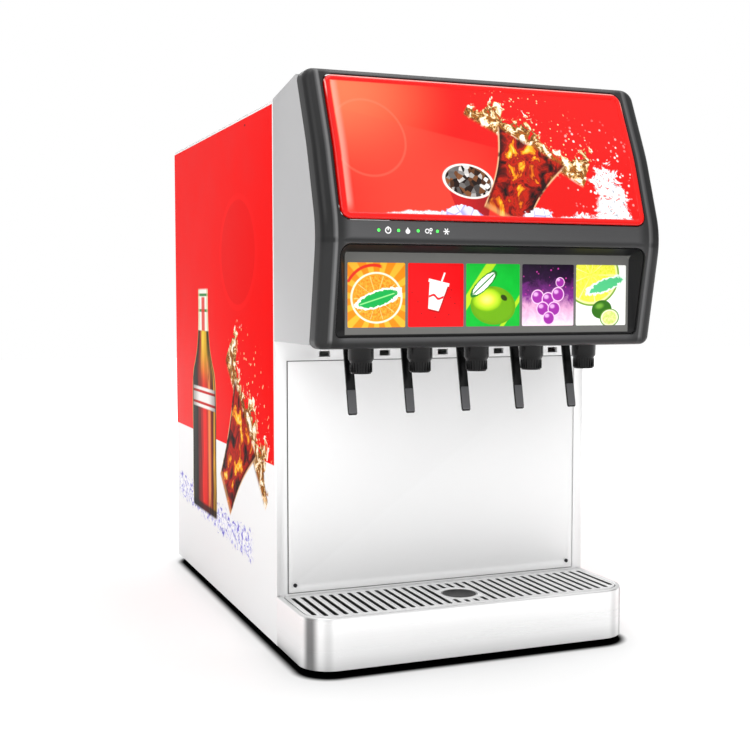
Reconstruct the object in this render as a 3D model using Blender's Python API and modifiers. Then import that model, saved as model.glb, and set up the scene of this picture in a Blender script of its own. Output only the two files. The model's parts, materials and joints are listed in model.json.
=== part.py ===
"""Five-valve countertop fountain soda dispenser, built as an assembly of separate parts.

Every part is placed from the cabinet datum: the middle of the cabinet's front plane at the
level of its underside. X is the width, Y runs back into the cabinet and Z is up. The datum
is set so that the origin lies under the middle of the whole machine, on the counter.
"""

import math

import bmesh
import bpy
from mathutils import Matrix, Vector

# Overall sizes
WIDTH = 0.430
CABINET_DEPTH = 0.5705
CABINET_HEIGHT = 0.665
HEAD_REACH = 0.1765
FOOT_HEIGHT = 0.008

# Clearances
TOUCH = 0.0003
SLIP = 0.0008
SEAM = 0.0012

# Cabinet sheet work
SKIN = 0.0015
FLANGE = 0.012
FRAME_DEPTH = 0.0055
PAN_FLOOR = 0.002
PAN_LIP = 0.025
COVER_SKIRT = 0.014
COVER_EASE = 0.003
FOOT_RADIUS = 0.016
FOOT_INSET = 0.040

# Head and fascia: drops and rises are measured from the head's floor
HEAD_TALL = 0.2895
HEAD_WALL = 0.0025
HEAD_TOP_STEP = 0.002
HEAD_TOP_RISE = math.radians(8.8)
FASCIA_DROP = 0.0045
FASCIA_TALL = 0.314
FASCIA_DEPTH = 0.025
FASCIA_WALL = 0.003
FASCIA_BOTTOM_LIP = 0.0068
FASCIA_TOP_LIP = 0.0061
FASCIA_EDGE = 0.009
FASCIA_TOP_CORNER = 0.015
FASCIA_BOTTOM_CORNER = 0.010
BEND_RISE = 0.125
BEND_RADIUS = 0.090
KNEE_RISE = 0.2205
KNEE_RADIUS = 0.250
LOWER_LEAN = math.radians(11.2)
MIDDLE_LEAN = math.radians(18.0)
UPPER_LEAN = math.radians(24.0)

# Lit lens
LENS_SIDE_MARGIN = 0.0225
LENS_RISE = 0.138
LENS_TALL = 0.164
LENS_CORNER = 0.012
LENS_GAP = 0.0014
LENS_PROUD = 0.0022
LENS_WALL = 0.003
LIGHT_BOARD_SETBACK = 0.038
LIGHT_BOARD_INSET = 0.010
LIGHT_BOARD_THICKNESS = 0.002
LAMP_STRIP_COUNT = 3
LAMP_STRIP_PITCH = 0.040
LAMP_STRIP_TALL = 0.010

# Card tray and flavour cards
CARD_COUNT = 5
CARD_GAP = 0.0032
CARD_HEIGHT = 0.0720
CARD_THICKNESS = 0.0012
CARD_RISE = 0.0080
CARD_CORNER = 0.0015
TRAY_WINDOW_SIDE_MARGIN = 0.0213
TRAY_WINDOW_RISE = 0.0083
TRAY_WINDOW_TALL = 0.1032
TRAY_WINDOW_CORNER = 0.013
CARD_FLOOR_SETBACK = 0.0225
CARD_FLOOR_WALL = 0.0025
CARD_FLOOR_SIDE_DRAFT = 0.0112
CARD_FLOOR_RISE = 0.0032
CARD_FLOOR_DROP = 0.0085
CARD_FLOOR_CORNER = 0.006
CARD_ROW_MARGIN = 0.0020

# Status lamps
LAMP_COUNT = 4
LAMP_PITCH = 0.0233
LAMP_SIDE_MARGIN = 0.065
LAMP_RISE = 0.001
LAMP_RADIUS = 0.0015
LAMP_BOARD_SETBACK = 0.006
LAMP_BOARD_TALL = 0.015
LAMP_BOARD_THICKNESS = 0.0016

# Dispensing valves: setbacks are measured from the foremost line of the head
VALVE_COUNT = 5
VALVE_PITCH = 0.0735
VALVE_WIDTH = 0.054
VALVE_SETBACK = 0.0405
VALVE_BACK = -0.040
VALVE_TALL = 0.084
SOLENOID_RADIUS = 0.016
SOLENOID_TALL = 0.024
ADJUSTER_RADIUS = 0.007
ADJUSTER_TALL = 0.010
SPIGOT_RADIUS = 0.0045
SPIGOT_RISE = 0.025
PORT_CLEARANCE = 0.001
RAIL_FRONT = -0.016
RAIL_THICKNESS = 0.011
RAIL_TALL = 0.050
NOZZLE_FRONT_SETBACK = 0.0487
NOZZLE_RADIUS = 0.0148
NOZZLE_TIP_RADIUS = 0.0116
NOZZLE_BORE_RADIUS = 0.0075
NOZZLE_BORE_DEPTH = 0.011
NOZZLE_DROP = 0.0343
NOZZLE_SHOULDER_DROP = 0.0180
NOZZLE_INSERT = 0.0225
NOZZLE_LUG_WIDTH = 0.004
NOZZLE_LUG_TALL = 0.005
SOCKET_CLEARANCE = 0.0022
LEVER_BEHIND_NOZZLE = 0.049
LEVER_PIVOT_RISE = 0.0145
LEVER_LEAN = math.radians(12.3)
LEVER_SWING = math.radians(13.0)
LEVER_LENGTH = 0.1016
LEVER_WIDTH = 0.0112
LEVER_THICKNESS = 0.0048
LEVER_ROOM = 0.0035
PADDLE_WIDTH = 0.0114
PADDLE_LENGTH = 0.031
PADDLE_SHOULDER = 0.004
HUB_RADIUS = 0.0048
HUB_WIDTH = 0.013
AXLE_RADIUS = 0.002
AXLE_OVERHANG = 0.004
AXLE_CLEARANCE = 0.00035

# Front frame and splash plate
COLUMN_WIDTH = 0.0134
SILL_ABOVE_TRAY = 0.0013
HEADER_TALL = 0.023
SPLASH_GAP = 0.0022
LEDGE = 0.009
HOOK_SLOT_COUNT = 5
HOOK_SLOT_PITCH = 0.080
HOOK_SLOT_FIRST_X = -0.152
HOOK_SLOT_WIDTH = 0.0140
HOOK_SLOT_HEIGHT = 0.0070
HOOK_SLOT_DROP = 0.0165
SCREW_INSET = 0.010
SCREW_RADIUS = 0.0024
SHANK_RADIUS = 0.0014
SCREW_HEAD_TALL = 0.0012

# Drip tray and grille
TRAY_REACH = 0.1229
TRAY_HEIGHT = 0.0622
TRAY_CORNER = 0.038
TRAY_WALL = 0.0018
TRAY_RIM = 0.006
TRAY_LEDGE = 0.005
TRAY_LEDGE_TALL = 0.002
TRAY_FLOOR = 0.004
GRILLE_THICKNESS = 0.003
GRILLE_SLOT_PITCH = 0.0121
GRILLE_SLOT_WIDTH = 0.0060
GRILLE_FRONT_BORDER = 0.0125
GRILLE_SIDE_BORDER = 0.003
GRILLE_BACK_BORDER = 0.0140
DRAIN_SETBACK = 0.0549
DRAIN_RADIUS = 0.0230
DRAIN_RIM = 0.006
STRAINER_DEPTH = 0.010

# Rear connection bay
BAY_SIDE_MARGIN = 0.029
BAY_RIGHT = 0.036
BAY_BOTTOM = 0.268
BAY_TALL = 0.132
BAY_DEPTH = 0.040
BARB_PITCH = 0.028
BARB_ROW_GAP = 0.045
BARB_RISE = 0.042
BARB_INSET = 0.024
BARB_RADIUS = 0.0045
BARB_LENGTH = 0.030
BARB_CLEARANCE = 0.001
MANIFOLD_THICKNESS = 0.014
MANIFOLD_BORDER = 0.014
INLET_X = 0.000
INLET_RISE = 0.094
INLET_WIDTH = 0.027
INLET_TALL = 0.020
INLET_DEPTH = 0.018
INLET_WALL = 0.002
INLET_FLANGE = 0.0105
SWITCH_RISE = 0.038
SWITCH_WIDTH = 0.020
SWITCH_RADIUS = 0.0100
SWITCH_TILT = math.radians(8.0)
SWITCH_BEZEL = 0.005
ROCKER_DISH = 0.0015
ROCKER_EDGE = 0.0042
ROCKER_FACE_SHARE = 0.88
FLANGE_THICKNESS = 0.002

# Louvres in the rear panel
LOUVRE_HEIGHT = 0.004
LOUVRE_PITCH = 0.012
LOUVRE_GAP = 0.012
UPPER_LOUVRE_DROP = 0.105
UPPER_LOUVRE_MARGIN = 0.050
UPPER_LOUVRE_ROWS = 6
LOWER_LOUVRE_HEIGHT = 0.040
LOWER_LOUVRE_MARGIN = 0.006

# Ice bath
DECK_LENGTH = 0.2355
TANK_SIDE_MARGIN = 0.025
TANK_FRONT = 0.030
TANK_BOTTOM = 0.033
TANK_TALL = 0.387
TANK_WALL = 0.012
STAND_WIDTH = 0.020
STAND_INSET = 0.0375
COIL_RADIUS = 0.125
COIL_TUBE = 0.004
COIL_TURNS = 4
COIL_BOTTOM = 0.110
COIL_PITCH = 0.055
CARBONATOR_X = -0.060
CARBONATOR_RADIUS = 0.045
CARBONATOR_HEIGHT = 0.270
NECK_RADIUS = 0.008
NECK_TALL = 0.018
BRIDGE_WIDTH = 0.044
BRIDGE_THICKNESS = 0.010
AGITATOR_X = 0.055
STIRRER_MOTOR_RADIUS = 0.032
STIRRER_MOTOR_TALL = 0.064
SHAFT_RADIUS = 0.004
SHAFT_INSERT = 0.034
IMPELLER_RADIUS = 0.028
IMPELLER_HEIGHT = 0.160
IMPELLER_CHORD = 0.012
IMPELLER_PITCH = math.radians(35.0)
BLADE_THICKNESS = 0.0016

# Refrigeration deck
COMPRESSOR_X = -0.056
COMPRESSOR_BEHIND_TANK = 0.095
COMPRESSOR_RADIUS = 0.061
COMPRESSOR_TALL = 0.165
COMPRESSOR_LEG = 0.020
CONDENSER_LEFT = 0.032
CONDENSER_SIDE_MARGIN = 0.023
CONDENSER_TOP = 0.236
CONDENSER_THICKNESS = 0.040
CONDENSER_BACK_GAP = 0.004
GROOVE_PITCH = 0.010
GROOVE_WIDTH = 0.005
GROOVE_BORDER = 0.010
FAN_RADIUS = 0.062
FAN_TIP_CLEARANCE = 0.006
FAN_CHORD = 0.022
FAN_PITCH = math.radians(24.0)
FAN_HUB_RADIUS = 0.018
FAN_HUB_DEPTH = 0.014
SHROUD_THICKNESS = 0.020
FAN_MOTOR_RADIUS = 0.022
FAN_MOTOR_LENGTH = 0.034
MOTOR_GAP = 0.002
MOTOR_ARM_TALL = 0.014
MOTOR_ARM_INSET = 0.004
PUMP_SIDE_MARGIN = 0.049
PUMP_BEHIND_TANK = 0.065
PUMP_RADIUS = 0.032
PUMP_LENGTH = 0.090
PUMP_HEAD_RADIUS = 0.020
PUMP_HEAD_LENGTH = 0.038
PUMP_RISE = 0.044
PUMP_FOOT_LENGTH = 0.060
CONTROL_BOX_SIDE_MARGIN = 0.029
CONTROL_BOX_WIDTH = 0.166
CONTROL_BOX_DEPTH = 0.095
CONTROL_BOX_ABOVE_BAY = 0.030
CONTROL_BOX_TALL = 0.110
GLAND_RADIUS = 0.008
GLAND_PITCH = 0.040
PIPE_X = 0.020
PIPE_HEIGHT = 0.022
PIPE_RADIUS = 0.0065
PIPE_BORE = 0.0050
PIPE_REACH_INTO_TRAY = 0.010

# Places worked out from the sizes above
DEPTH = CABINET_DEPTH + HEAD_REACH
DATUM = (0.0, HEAD_REACH - DEPTH / 2, FOOT_HEIGHT)
HALF = WIDTH / 2
REAR_FACE = CABINET_DEPTH - SKIN - TOUCH
REAR_INNER = REAR_FACE - SKIN
SIDE_INNER = HALF - SKIN - TOUCH

HEAD_BOTTOM = CABINET_HEIGHT - HEAD_TALL
HEAD_TOP_BACK = CABINET_HEIGHT + HEAD_TOP_STEP
DECK = HEAD_BOTTOM + HEAD_WALL + TOUCH
FASCIA_BOTTOM = HEAD_BOTTOM - FASCIA_DROP
FASCIA_TOP = FASCIA_BOTTOM + FASCIA_TALL
BEND_HEIGHT = HEAD_BOTTOM + BEND_RISE
KNEE_HEIGHT = HEAD_BOTTOM + KNEE_RISE
LENS_HALF_WIDTH = HALF - LENS_SIDE_MARGIN
LENS_BOTTOM = HEAD_BOTTOM + LENS_RISE
LENS_TOP = LENS_BOTTOM + LENS_TALL

TRAY_WINDOW_HALF_WIDTH = HALF - TRAY_WINDOW_SIDE_MARGIN
TRAY_WINDOW_BOTTOM = HEAD_BOTTOM + TRAY_WINDOW_RISE
TRAY_WINDOW_TOP = TRAY_WINDOW_BOTTOM + TRAY_WINDOW_TALL
CARD_FLOOR_Y = -HEAD_REACH + CARD_FLOOR_SETBACK
CARD_FLOOR_HALF_WIDTH = TRAY_WINDOW_HALF_WIDTH - CARD_FLOOR_SIDE_DRAFT
CARD_FLOOR_BOTTOM = TRAY_WINDOW_BOTTOM + CARD_FLOOR_RISE
CARD_FLOOR_TOP = TRAY_WINDOW_TOP - CARD_FLOOR_DROP
CARD_BOTTOM = CARD_FLOOR_BOTTOM + CARD_RISE
CARD_PITCH = 2 * (CARD_FLOOR_HALF_WIDTH - CARD_ROW_MARGIN) / CARD_COUNT
CARD_WIDTH = CARD_PITCH - CARD_GAP
LAMP_FIRST_X = -HALF + LAMP_SIDE_MARGIN
LAMP_HEIGHT = BEND_HEIGHT + LAMP_RISE

VALVE_FRONT = -HEAD_REACH + VALVE_SETBACK
VALVE_TOP = DECK + VALVE_TALL
NOZZLE_Y = -HEAD_REACH + NOZZLE_FRONT_SETBACK + NOZZLE_RADIUS
NOZZLE_BOTTOM = HEAD_BOTTOM - NOZZLE_DROP
NOZZLE_SHOULDER = HEAD_BOTTOM - NOZZLE_SHOULDER_DROP
NOZZLE_HEAD = HEAD_BOTTOM + NOZZLE_INSERT
SOCKET_RADIUS = NOZZLE_RADIUS + SOCKET_CLEARANCE
LEVER_Y = NOZZLE_Y + LEVER_BEHIND_NOZZLE
LEVER_PIVOT_HEIGHT = HEAD_BOTTOM + LEVER_PIVOT_RISE
LEVER_SLOT_FRONT = (
    LEVER_Y - LEVER_PIVOT_RISE * math.tan(LEVER_LEAN) - LEVER_THICKNESS - LEVER_ROOM
)
LEVER_SLOT_BACK = (
    LEVER_Y
    + max(LEVER_PIVOT_RISE * math.tan(LEVER_SWING - LEVER_LEAN) + LEVER_THICKNESS, HUB_RADIUS)
    + LEVER_ROOM
)

OPENING_HALF_WIDTH = HALF - COLUMN_WIDTH
OPENING_TOP = HEAD_BOTTOM - HEADER_TALL
SILL_HEIGHT = TRAY_HEIGHT + SILL_ABOVE_TRAY
HOOK_SLOT_CENTRE = HEAD_BOTTOM - HOOK_SLOT_DROP
SCREW_X = OPENING_HALF_WIDTH - SCREW_INSET
SCREW_HEIGHT = SILL_HEIGHT + SCREW_INSET

GRILLE_BOTTOM = TRAY_HEIGHT - GRILLE_THICKNESS
GRILLE_SLOT_FRONT = -TRAY_REACH + GRILLE_FRONT_BORDER
DRAIN_Y = -TRAY_REACH + DRAIN_SETBACK

BAY_LEFT = -HALF + BAY_SIDE_MARGIN
BAY_TOP = BAY_BOTTOM + BAY_TALL
BAY_WALL_Y = REAR_FACE - BAY_DEPTH
INLET_HEIGHT = BAY_BOTTOM + INLET_RISE
SWITCH_HEIGHT = BAY_BOTTOM + SWITCH_RISE
BARB_HEIGHT = BAY_BOTTOM + BARB_RISE

TANK_HALF_WIDTH = HALF - TANK_SIDE_MARGIN
TANK_BACK = CABINET_DEPTH - DECK_LENGTH
TANK_TOP = TANK_BOTTOM + TANK_TALL
TANK_Y = (TANK_FRONT + TANK_BACK) / 2
COMPRESSOR_Y = TANK_BACK + COMPRESSOR_BEHIND_TANK
CONDENSER_RIGHT = HALF - CONDENSER_SIDE_MARGIN
CONDENSER_BACK = REAR_INNER - CONDENSER_BACK_GAP
CONDENSER_FRONT = CONDENSER_BACK - CONDENSER_THICKNESS
SHROUD_BACK = CONDENSER_FRONT - TOUCH
SHROUD_FRONT = SHROUD_BACK - SHROUD_THICKNESS
FAN_X = (CONDENSER_LEFT + CONDENSER_RIGHT) / 2
FAN_Y = (SHROUD_FRONT + SHROUD_BACK) / 2
FAN_HEIGHT = (PAN_FLOOR + CONDENSER_TOP) / 2


# ---------------------------------------------------------------- set-up


def clear_scene():
    for old in list(bpy.data.objects):
        bpy.data.objects.remove(old, do_unlink=True)


def new_collection(name):
    collection = bpy.data.collections.new(name)
    bpy.context.scene.collection.children.link(collection)
    return collection


def finish(name, colour, roughness, metallic=0.0, alpha=1.0):
    material = bpy.data.materials.new(name)
    material.use_nodes = True
    shader = material.node_tree.nodes["Principled BSDF"]
    shader.inputs["Base Color"].default_value = (*colour, 1.0)
    shader.inputs["Roughness"].default_value = roughness
    shader.inputs["Metallic"].default_value = metallic
    shader.inputs["Alpha"].default_value = alpha
    material.diffuse_color = (*colour, 1.0)
    return material


clear_scene()
PARTS = new_collection("fountain_soda_dispenser")
CUTTERS = new_collection("cutters")

datum = bpy.data.objects.new("cabinet_datum", None)
datum.location = DATUM
PARTS.objects.link(datum)

BRIGHT_STEEL = finish("bright_steel", (0.78, 0.78, 0.78), 0.30, 1.0)
WHITE_PAINT = finish("white_paint", (0.86, 0.86, 0.85), 0.35)
RED_PRINT = finish("red_print", (0.86, 0.02, 0.01), 0.35)
GREY_SHELL = finish("grey_shell", (0.52, 0.52, 0.52), 0.45)
BLACK_PLASTIC = finish("black_plastic", (0.030, 0.030, 0.032), 0.35)
CARD_TRAY_GREY = finish("card_tray_grey", (0.15, 0.15, 0.145), 0.45)
RED_LENS = finish("red_lens", (0.75, 0.02, 0.02), 0.12)
CARD_PRINT = finish("card_print", (0.80, 0.55, 0.10), 0.40)
LAMP_GREEN = finish("lamp_green", (0.02, 0.80, 0.05), 0.20)
DARK_SCREW = finish("dark_screw", (0.05, 0.05, 0.05), 0.35, 1.0)
BLACK_RUBBER = finish("black_rubber", (0.02, 0.02, 0.02), 0.80)
GALVANISED = finish("galvanised", (0.55, 0.57, 0.58), 0.45, 1.0)
COPPER = finish("copper", (0.72, 0.36, 0.22), 0.30, 1.0)
ALUMINIUM = finish("aluminium", (0.74, 0.75, 0.76), 0.40, 1.0)
BLACK_ENAMEL = finish("black_enamel", (0.02, 0.02, 0.02), 0.30)
TANK_WHITE = finish("tank_white", (0.80, 0.82, 0.80), 0.50)
BRASS = finish("brass", (0.72, 0.52, 0.20), 0.30, 1.0)


# ---------------------------------------------------------------- building tools


def place(name, mesh, location, material, rotation=(0.0, 0.0, 0.0)):
    """Puts a mesh in the machine; without a material it is a cutter."""
    shape = bpy.data.objects.new(name, mesh)
    shape.parent = datum
    shape.location = location
    shape.rotation_euler = rotation
    if material is None:
        CUTTERS.objects.link(shape)
        shape.hide_render = True
        shape.display_type = "WIRE"
    else:
        mesh.materials.append(material)
        PARTS.objects.link(shape)
    return shape


def smooth(mesh):
    mesh.shade_smooth()
    mesh.set_sharp_from_angle(angle=math.radians(32))


def block(name, low, high, material=None, rotation=(0.0, 0.0, 0.0)):
    """A box between two corners."""
    size = [b - a for a, b in zip(low, high)]
    centre = [(a + b) / 2 for a, b in zip(low, high)]
    shape = bmesh.new()
    bmesh.ops.create_cube(shape, size=1.0)
    bmesh.ops.scale(shape, vec=size, verts=shape.verts)
    mesh = bpy.data.meshes.new(name)
    shape.to_mesh(mesh)
    shape.free()
    return place(name, mesh, centre, material, rotation)


def blocks(name, corners):
    """One cutter made of several boxes, each given by its two corners."""
    shape = bmesh.new()
    for low, high in corners:
        size = [b - a for a, b in zip(low, high)]
        centre = [(a + b) / 2 for a, b in zip(low, high)]
        turn = Matrix.Translation(centre) @ Matrix.Diagonal((*size, 1.0))
        bmesh.ops.create_cube(shape, size=1.0, matrix=turn)
    mesh = bpy.data.meshes.new(name)
    shape.to_mesh(mesh)
    shape.free()
    return place(name, mesh, (0.0, 0.0, 0.0), None)


AXIS_TURN = {
    "X": (0.0, math.pi / 2, 0.0),
    "Y": (-math.pi / 2, 0.0, 0.0),
    "Z": (0.0, 0.0, 0.0),
}


def rod(name, radius, start, length, axis="Z", material=None, end_radius=None, sides=20):
    """A round bar from its start point, running along one axis."""
    shape = bmesh.new()
    bmesh.ops.create_cone(
        shape,
        cap_ends=True,
        segments=sides,
        radius1=radius,
        radius2=radius if end_radius is None else end_radius,
        depth=length,
    )
    mesh = bpy.data.meshes.new(name)
    shape.to_mesh(mesh)
    shape.free()
    smooth(mesh)
    centre = Vector(start)
    centre["XYZ".index(axis)] += length / 2
    return place(name, mesh, centre, material, AXIS_TURN[axis])


def rounded(corners, steps=4):
    """A closed outline through (u, v, radius) corners, with an arc at each radius."""
    outline = []
    for index, (u, v, radius) in enumerate(corners):
        here = Vector((u, v))
        if radius <= 0.0:
            outline.append(here)
            continue
        back = (Vector(corners[index - 1][:2]) - here).normalized()
        ahead = (Vector(corners[(index + 1) % len(corners)][:2]) - here).normalized()
        half_angle = back.angle(ahead) / 2
        start = here + back * (radius / math.tan(half_angle))
        centre = here + (back + ahead).normalized() * (radius / math.sin(half_angle))
        end = here + ahead * (radius / math.tan(half_angle))
        sweep = -(start - centre).angle_signed(end - centre)
        for step in range(steps + 1):
            outline.append(centre + Matrix.Rotation(sweep * step / steps, 2) @ (start - centre))
    return outline


def rounded_box(low_u, low_v, high_u, high_v, radius, top_radius=None, steps=4):
    """A rectangular outline with rounded corners; the upper two may differ."""
    upper = radius if top_radius is None else top_radius
    corners = [
        (low_u, low_v, radius),
        (high_u, low_v, radius),
        (high_u, high_v, upper),
        (low_u, high_v, upper),
    ]
    return rounded(corners, steps)


PRISM_TURN = {
    "X": (math.pi / 2, 0.0, math.pi / 2),
    "Y": (math.pi / 2, 0.0, 0.0),
    "Z": (0.0, 0.0, 0.0),
}


def prism(name, outlines, low, high, axis, material=None):
    """Flat outlines given thickness along an axis.

    An outline is drawn in (y, z) for a prism along X, in (x, z) along Y and in (x, y) along Z.
    """
    flat = bpy.data.curves.new(name, "CURVE")
    flat.dimensions = "2D"
    flat.fill_mode = "BOTH"
    flat.extrude = (high - low) / 2
    for outline in outlines:
        spline = flat.splines.new("POLY")
        spline.points.add(len(outline) - 1)
        for point, (u, v) in zip(spline.points, outline):
            point.co = (u, v, 0.0, 1.0)
        spline.use_cyclic_u = True
    middle = Vector((0.0, 0.0, 0.0))
    middle["XYZ".index(axis)] = (low + high) / 2
    return from_curve(name, flat, middle, material, PRISM_TURN[axis])


def from_curve(name, curve, location, material, rotation=(0.0, 0.0, 0.0)):
    """Turns a curve into a closed mesh part."""
    drawn = bpy.data.objects.new(name + "_curve", curve)
    PARTS.objects.link(drawn)
    bpy.context.view_layer.update()
    evaluated = drawn.evaluated_get(bpy.context.evaluated_depsgraph_get())
    mesh = bpy.data.meshes.new_from_object(evaluated)
    mesh.name = name
    bpy.data.objects.remove(drawn)
    shape = bmesh.new()
    shape.from_mesh(mesh)
    bmesh.ops.remove_doubles(shape, verts=shape.verts, dist=1e-6)
    bmesh.ops.recalc_face_normals(shape, faces=shape.faces)
    shape.to_mesh(mesh)
    shape.free()
    mesh.materials.clear()
    smooth(mesh)
    return place(name, mesh, location, material, rotation)


def tube(name, points, radius, material, resolution=2):
    """A round tube along a list of points."""
    path = bpy.data.curves.new(name, "CURVE")
    path.dimensions = "3D"
    path.bevel_depth = radius
    path.bevel_resolution = resolution
    path.use_fill_caps = True
    spline = path.splines.new("POLY")
    spline.points.add(len(points) - 1)
    for point, place_at in zip(spline.points, points):
        point.co = (*place_at, 1.0)
    return from_curve(name, path, (0.0, 0.0, 0.0), material)


def turned(name, profile, location, material, steps=28, closed=False):
    """A turned part from (radius, height) points, listed from the top down its outer side."""
    mesh = bpy.data.meshes.new(name)
    points = [(radius, 0.0, height) for radius, height in profile]
    edges = [(i, i + 1) for i in range(len(points) - 1)]
    if closed:
        edges.append((len(points) - 1, 0))
    mesh.from_pydata(points, edges, [])
    shape = place(name, mesh, location, material)
    screw = shape.modifiers.new("Turn", "SCREW")
    screw.steps = steps
    screw.render_steps = steps
    screw.use_merge_vertices = True
    screw.merge_threshold = 1e-5
    screw.use_smooth_shade = True
    return shape


def combine(target, operation, *others):
    """Adds a Boolean modifier for each of the other shapes."""
    for other in others:
        modifier = target.modifiers.new(other.name, "BOOLEAN")
        modifier.operation = operation
        modifier.object = other
        modifier.solver = "EXACT"
    return target


def cut(target, *cutters):
    return combine(target, "DIFFERENCE", *cutters)


def join(target, *pieces):
    return combine(target, "UNION", *pieces)


def settle(target):
    """Makes the modifiers' result the part's own mesh, so that its edges can be rounded."""
    bpy.context.view_layer.update()
    evaluated = target.evaluated_get(bpy.context.evaluated_depsgraph_get())
    mesh = bpy.data.meshes.new_from_object(evaluated)
    mesh.name = target.name
    target.modifiers.clear()
    target.data = mesh
    return target


def round_front(target, width, segments):
    """Rounds the edges between a part's front and its sides."""
    shape = bmesh.new()
    shape.from_mesh(target.data)
    bmesh.ops.dissolve_limit(
        shape, angle_limit=math.radians(0.05), verts=shape.verts, edges=shape.edges
    )
    shape.normal_update()
    rim = []
    for edge in shape.edges:
        facing = sorted(face.normal.y for face in edge.link_faces)
        if facing[0] < -0.6 and facing[-1] > -0.3:
            rim.append(edge)
    bmesh.ops.bevel(
        shape,
        geom=rim,
        offset=width,
        offset_type="OFFSET",
        segments=segments,
        profile=0.5,
        affect="EDGES",
        clamp_overlap=True,
    )
    shape.to_mesh(target.data)
    shape.free()
    smooth(target.data)
    return target


# ---------------------------------------------------------------- shared shapes


def face_line(steps=6):
    """The fascia's face in (y, z) from bottom to top, its foremost point HEAD_REACH out."""
    lower_y = math.tan(LOWER_LEAN) * (BEND_HEIGHT - FASCIA_BOTTOM)
    knee_y = math.tan(MIDDLE_LEAN) * (KNEE_HEIGHT - BEND_HEIGHT)
    upper_y = knee_y + math.tan(UPPER_LEAN) * (FASCIA_TOP - KNEE_HEIGHT)
    line = rounded(
        [
            (lower_y, FASCIA_BOTTOM, 0.0),
            (0.0, BEND_HEIGHT, BEND_RADIUS),
            (knee_y, KNEE_HEIGHT, KNEE_RADIUS),
            (upper_y, FASCIA_TOP, 0.0),
        ],
        steps,
    )
    shift = -HEAD_REACH - min(point[0] for point in line)
    return [(point[0] + shift, point[1]) for point in line]


def front_at(height):
    """How far out the fascia's face stands at a height."""
    line = face_line()
    index = 1
    while index < len(line) - 1 and line[index][1] < height:
        index += 1
    y_low, z_low = line[index - 1]
    y_high, z_high = line[index]
    return y_low + (y_high - y_low) * (height - z_low) / (z_high - z_low)


def front_profile(setback=0.0, bottom=FASCIA_BOTTOM, top=FASCIA_TOP):
    """The stretch of the face line between two heights, moved back by the setback."""
    line = [(y, z) for y, z in face_line() if bottom < z < top]
    line = [(front_at(bottom), bottom)] + line + [(front_at(top), top)]
    return [(y + setback, z) for y, z in line]


def head_top(y):
    """Height of the head's sloping top at a depth."""
    return HEAD_TOP_BACK - y * math.tan(HEAD_TOP_RISE)


def top_meeting(below, above):
    """Where a straight stretch of the face line crosses the head's sloping top."""
    short = head_top(below[0]) - below[1]
    over = above[1] - head_top(above[0])
    share = short / (short + over)
    return tuple(a + (b - a) * share for a, b in zip(below, above))


def centred(count, pitch, index):
    """Place of one of a row of equally spaced things about the middle."""
    return (index - (count - 1) / 2) * pitch


def tray_outline(inset, steps=6):
    """The drip tray seen from above, moved in from its outer face."""
    corner = max(TRAY_CORNER - inset, 0.001)
    side = HALF - inset
    return rounded(
        [
            (-side, -TOUCH - inset, 0.0),
            (-side, -TRAY_REACH + inset, corner),
            (side, -TRAY_REACH + inset, corner),
            (side, -TOUCH - inset, 0.0),
        ],
        steps,
    )


# ---------------------------------------------------------------- cabinet


def make_base_pan():
    side = SIDE_INNER
    front = FRAME_DEPTH + TOUCH
    back = REAR_INNER - TOUCH
    pan = block("base_pan", (-side, front, 0.0), (side, back, PAN_LIP), GALVANISED)
    well = block(
        "pan_well",
        (-side + SKIN, front + SKIN, PAN_FLOOR),
        (side - SKIN, back - SKIN, PAN_LIP * 2),
    )
    cut(pan, well)
    for name, side in (("left", -1), ("right", 1)):
        x = side * (TANK_HALF_WIDTH - STAND_INSET - STAND_WIDTH / 2)
        stand = block(
            f"tank_stand_{name}",
            (x - STAND_WIDTH / 2, TANK_FRONT + TANK_WALL, PAN_FLOOR / 2),
            (x + STAND_WIDTH / 2, TANK_BACK - TANK_WALL, TANK_BOTTOM - TOUCH),
        )
        join(pan, stand)
    cut(pan, drain_passage("pan_drain_passage"))


def drain_passage(name):
    """Clearance for the drain pipe through every wall that it passes."""
    start = -TRAY_WALL - PIPE_REACH_INTO_TRAY
    return rod(name, PIPE_RADIUS + SLIP, (PIPE_X, start, PIPE_HEIGHT), 2 * CABINET_DEPTH, "Y")


def make_side_panel(name, side):
    """A sheet side with a flange turned in at its front and its rear."""
    outer = side * HALF
    inner = side * (HALF - SKIN)
    lip = side * (HALF - FLANGE)
    front = FRAME_DEPTH + TOUCH
    outline = [
        (outer, front),
        (outer, CABINET_DEPTH),
        (lip, CABINET_DEPTH),
        (lip, CABINET_DEPTH - SKIN),
        (inner, CABINET_DEPTH - SKIN),
        (inner, front),
    ]
    prism(name, [outline], 0.0, CABINET_HEIGHT - SKIN - TOUCH, "Z", RED_PRINT)


def louvre_boxes(low_x, high_x, low_z, columns, rows):
    """Corners of a field of horizontal slots."""
    length = (high_x - low_x - LOUVRE_GAP * (columns - 1)) / columns
    corners = []
    for column in range(columns):
        x = low_x + column * (length + LOUVRE_GAP)
        for row in range(rows):
            z = low_z + row * LOUVRE_PITCH
            corners.append(
                ((x, REAR_INNER - SKIN, z), (x + length, REAR_FACE + SKIN, z + LOUVRE_HEIGHT))
            )
    return corners


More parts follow.
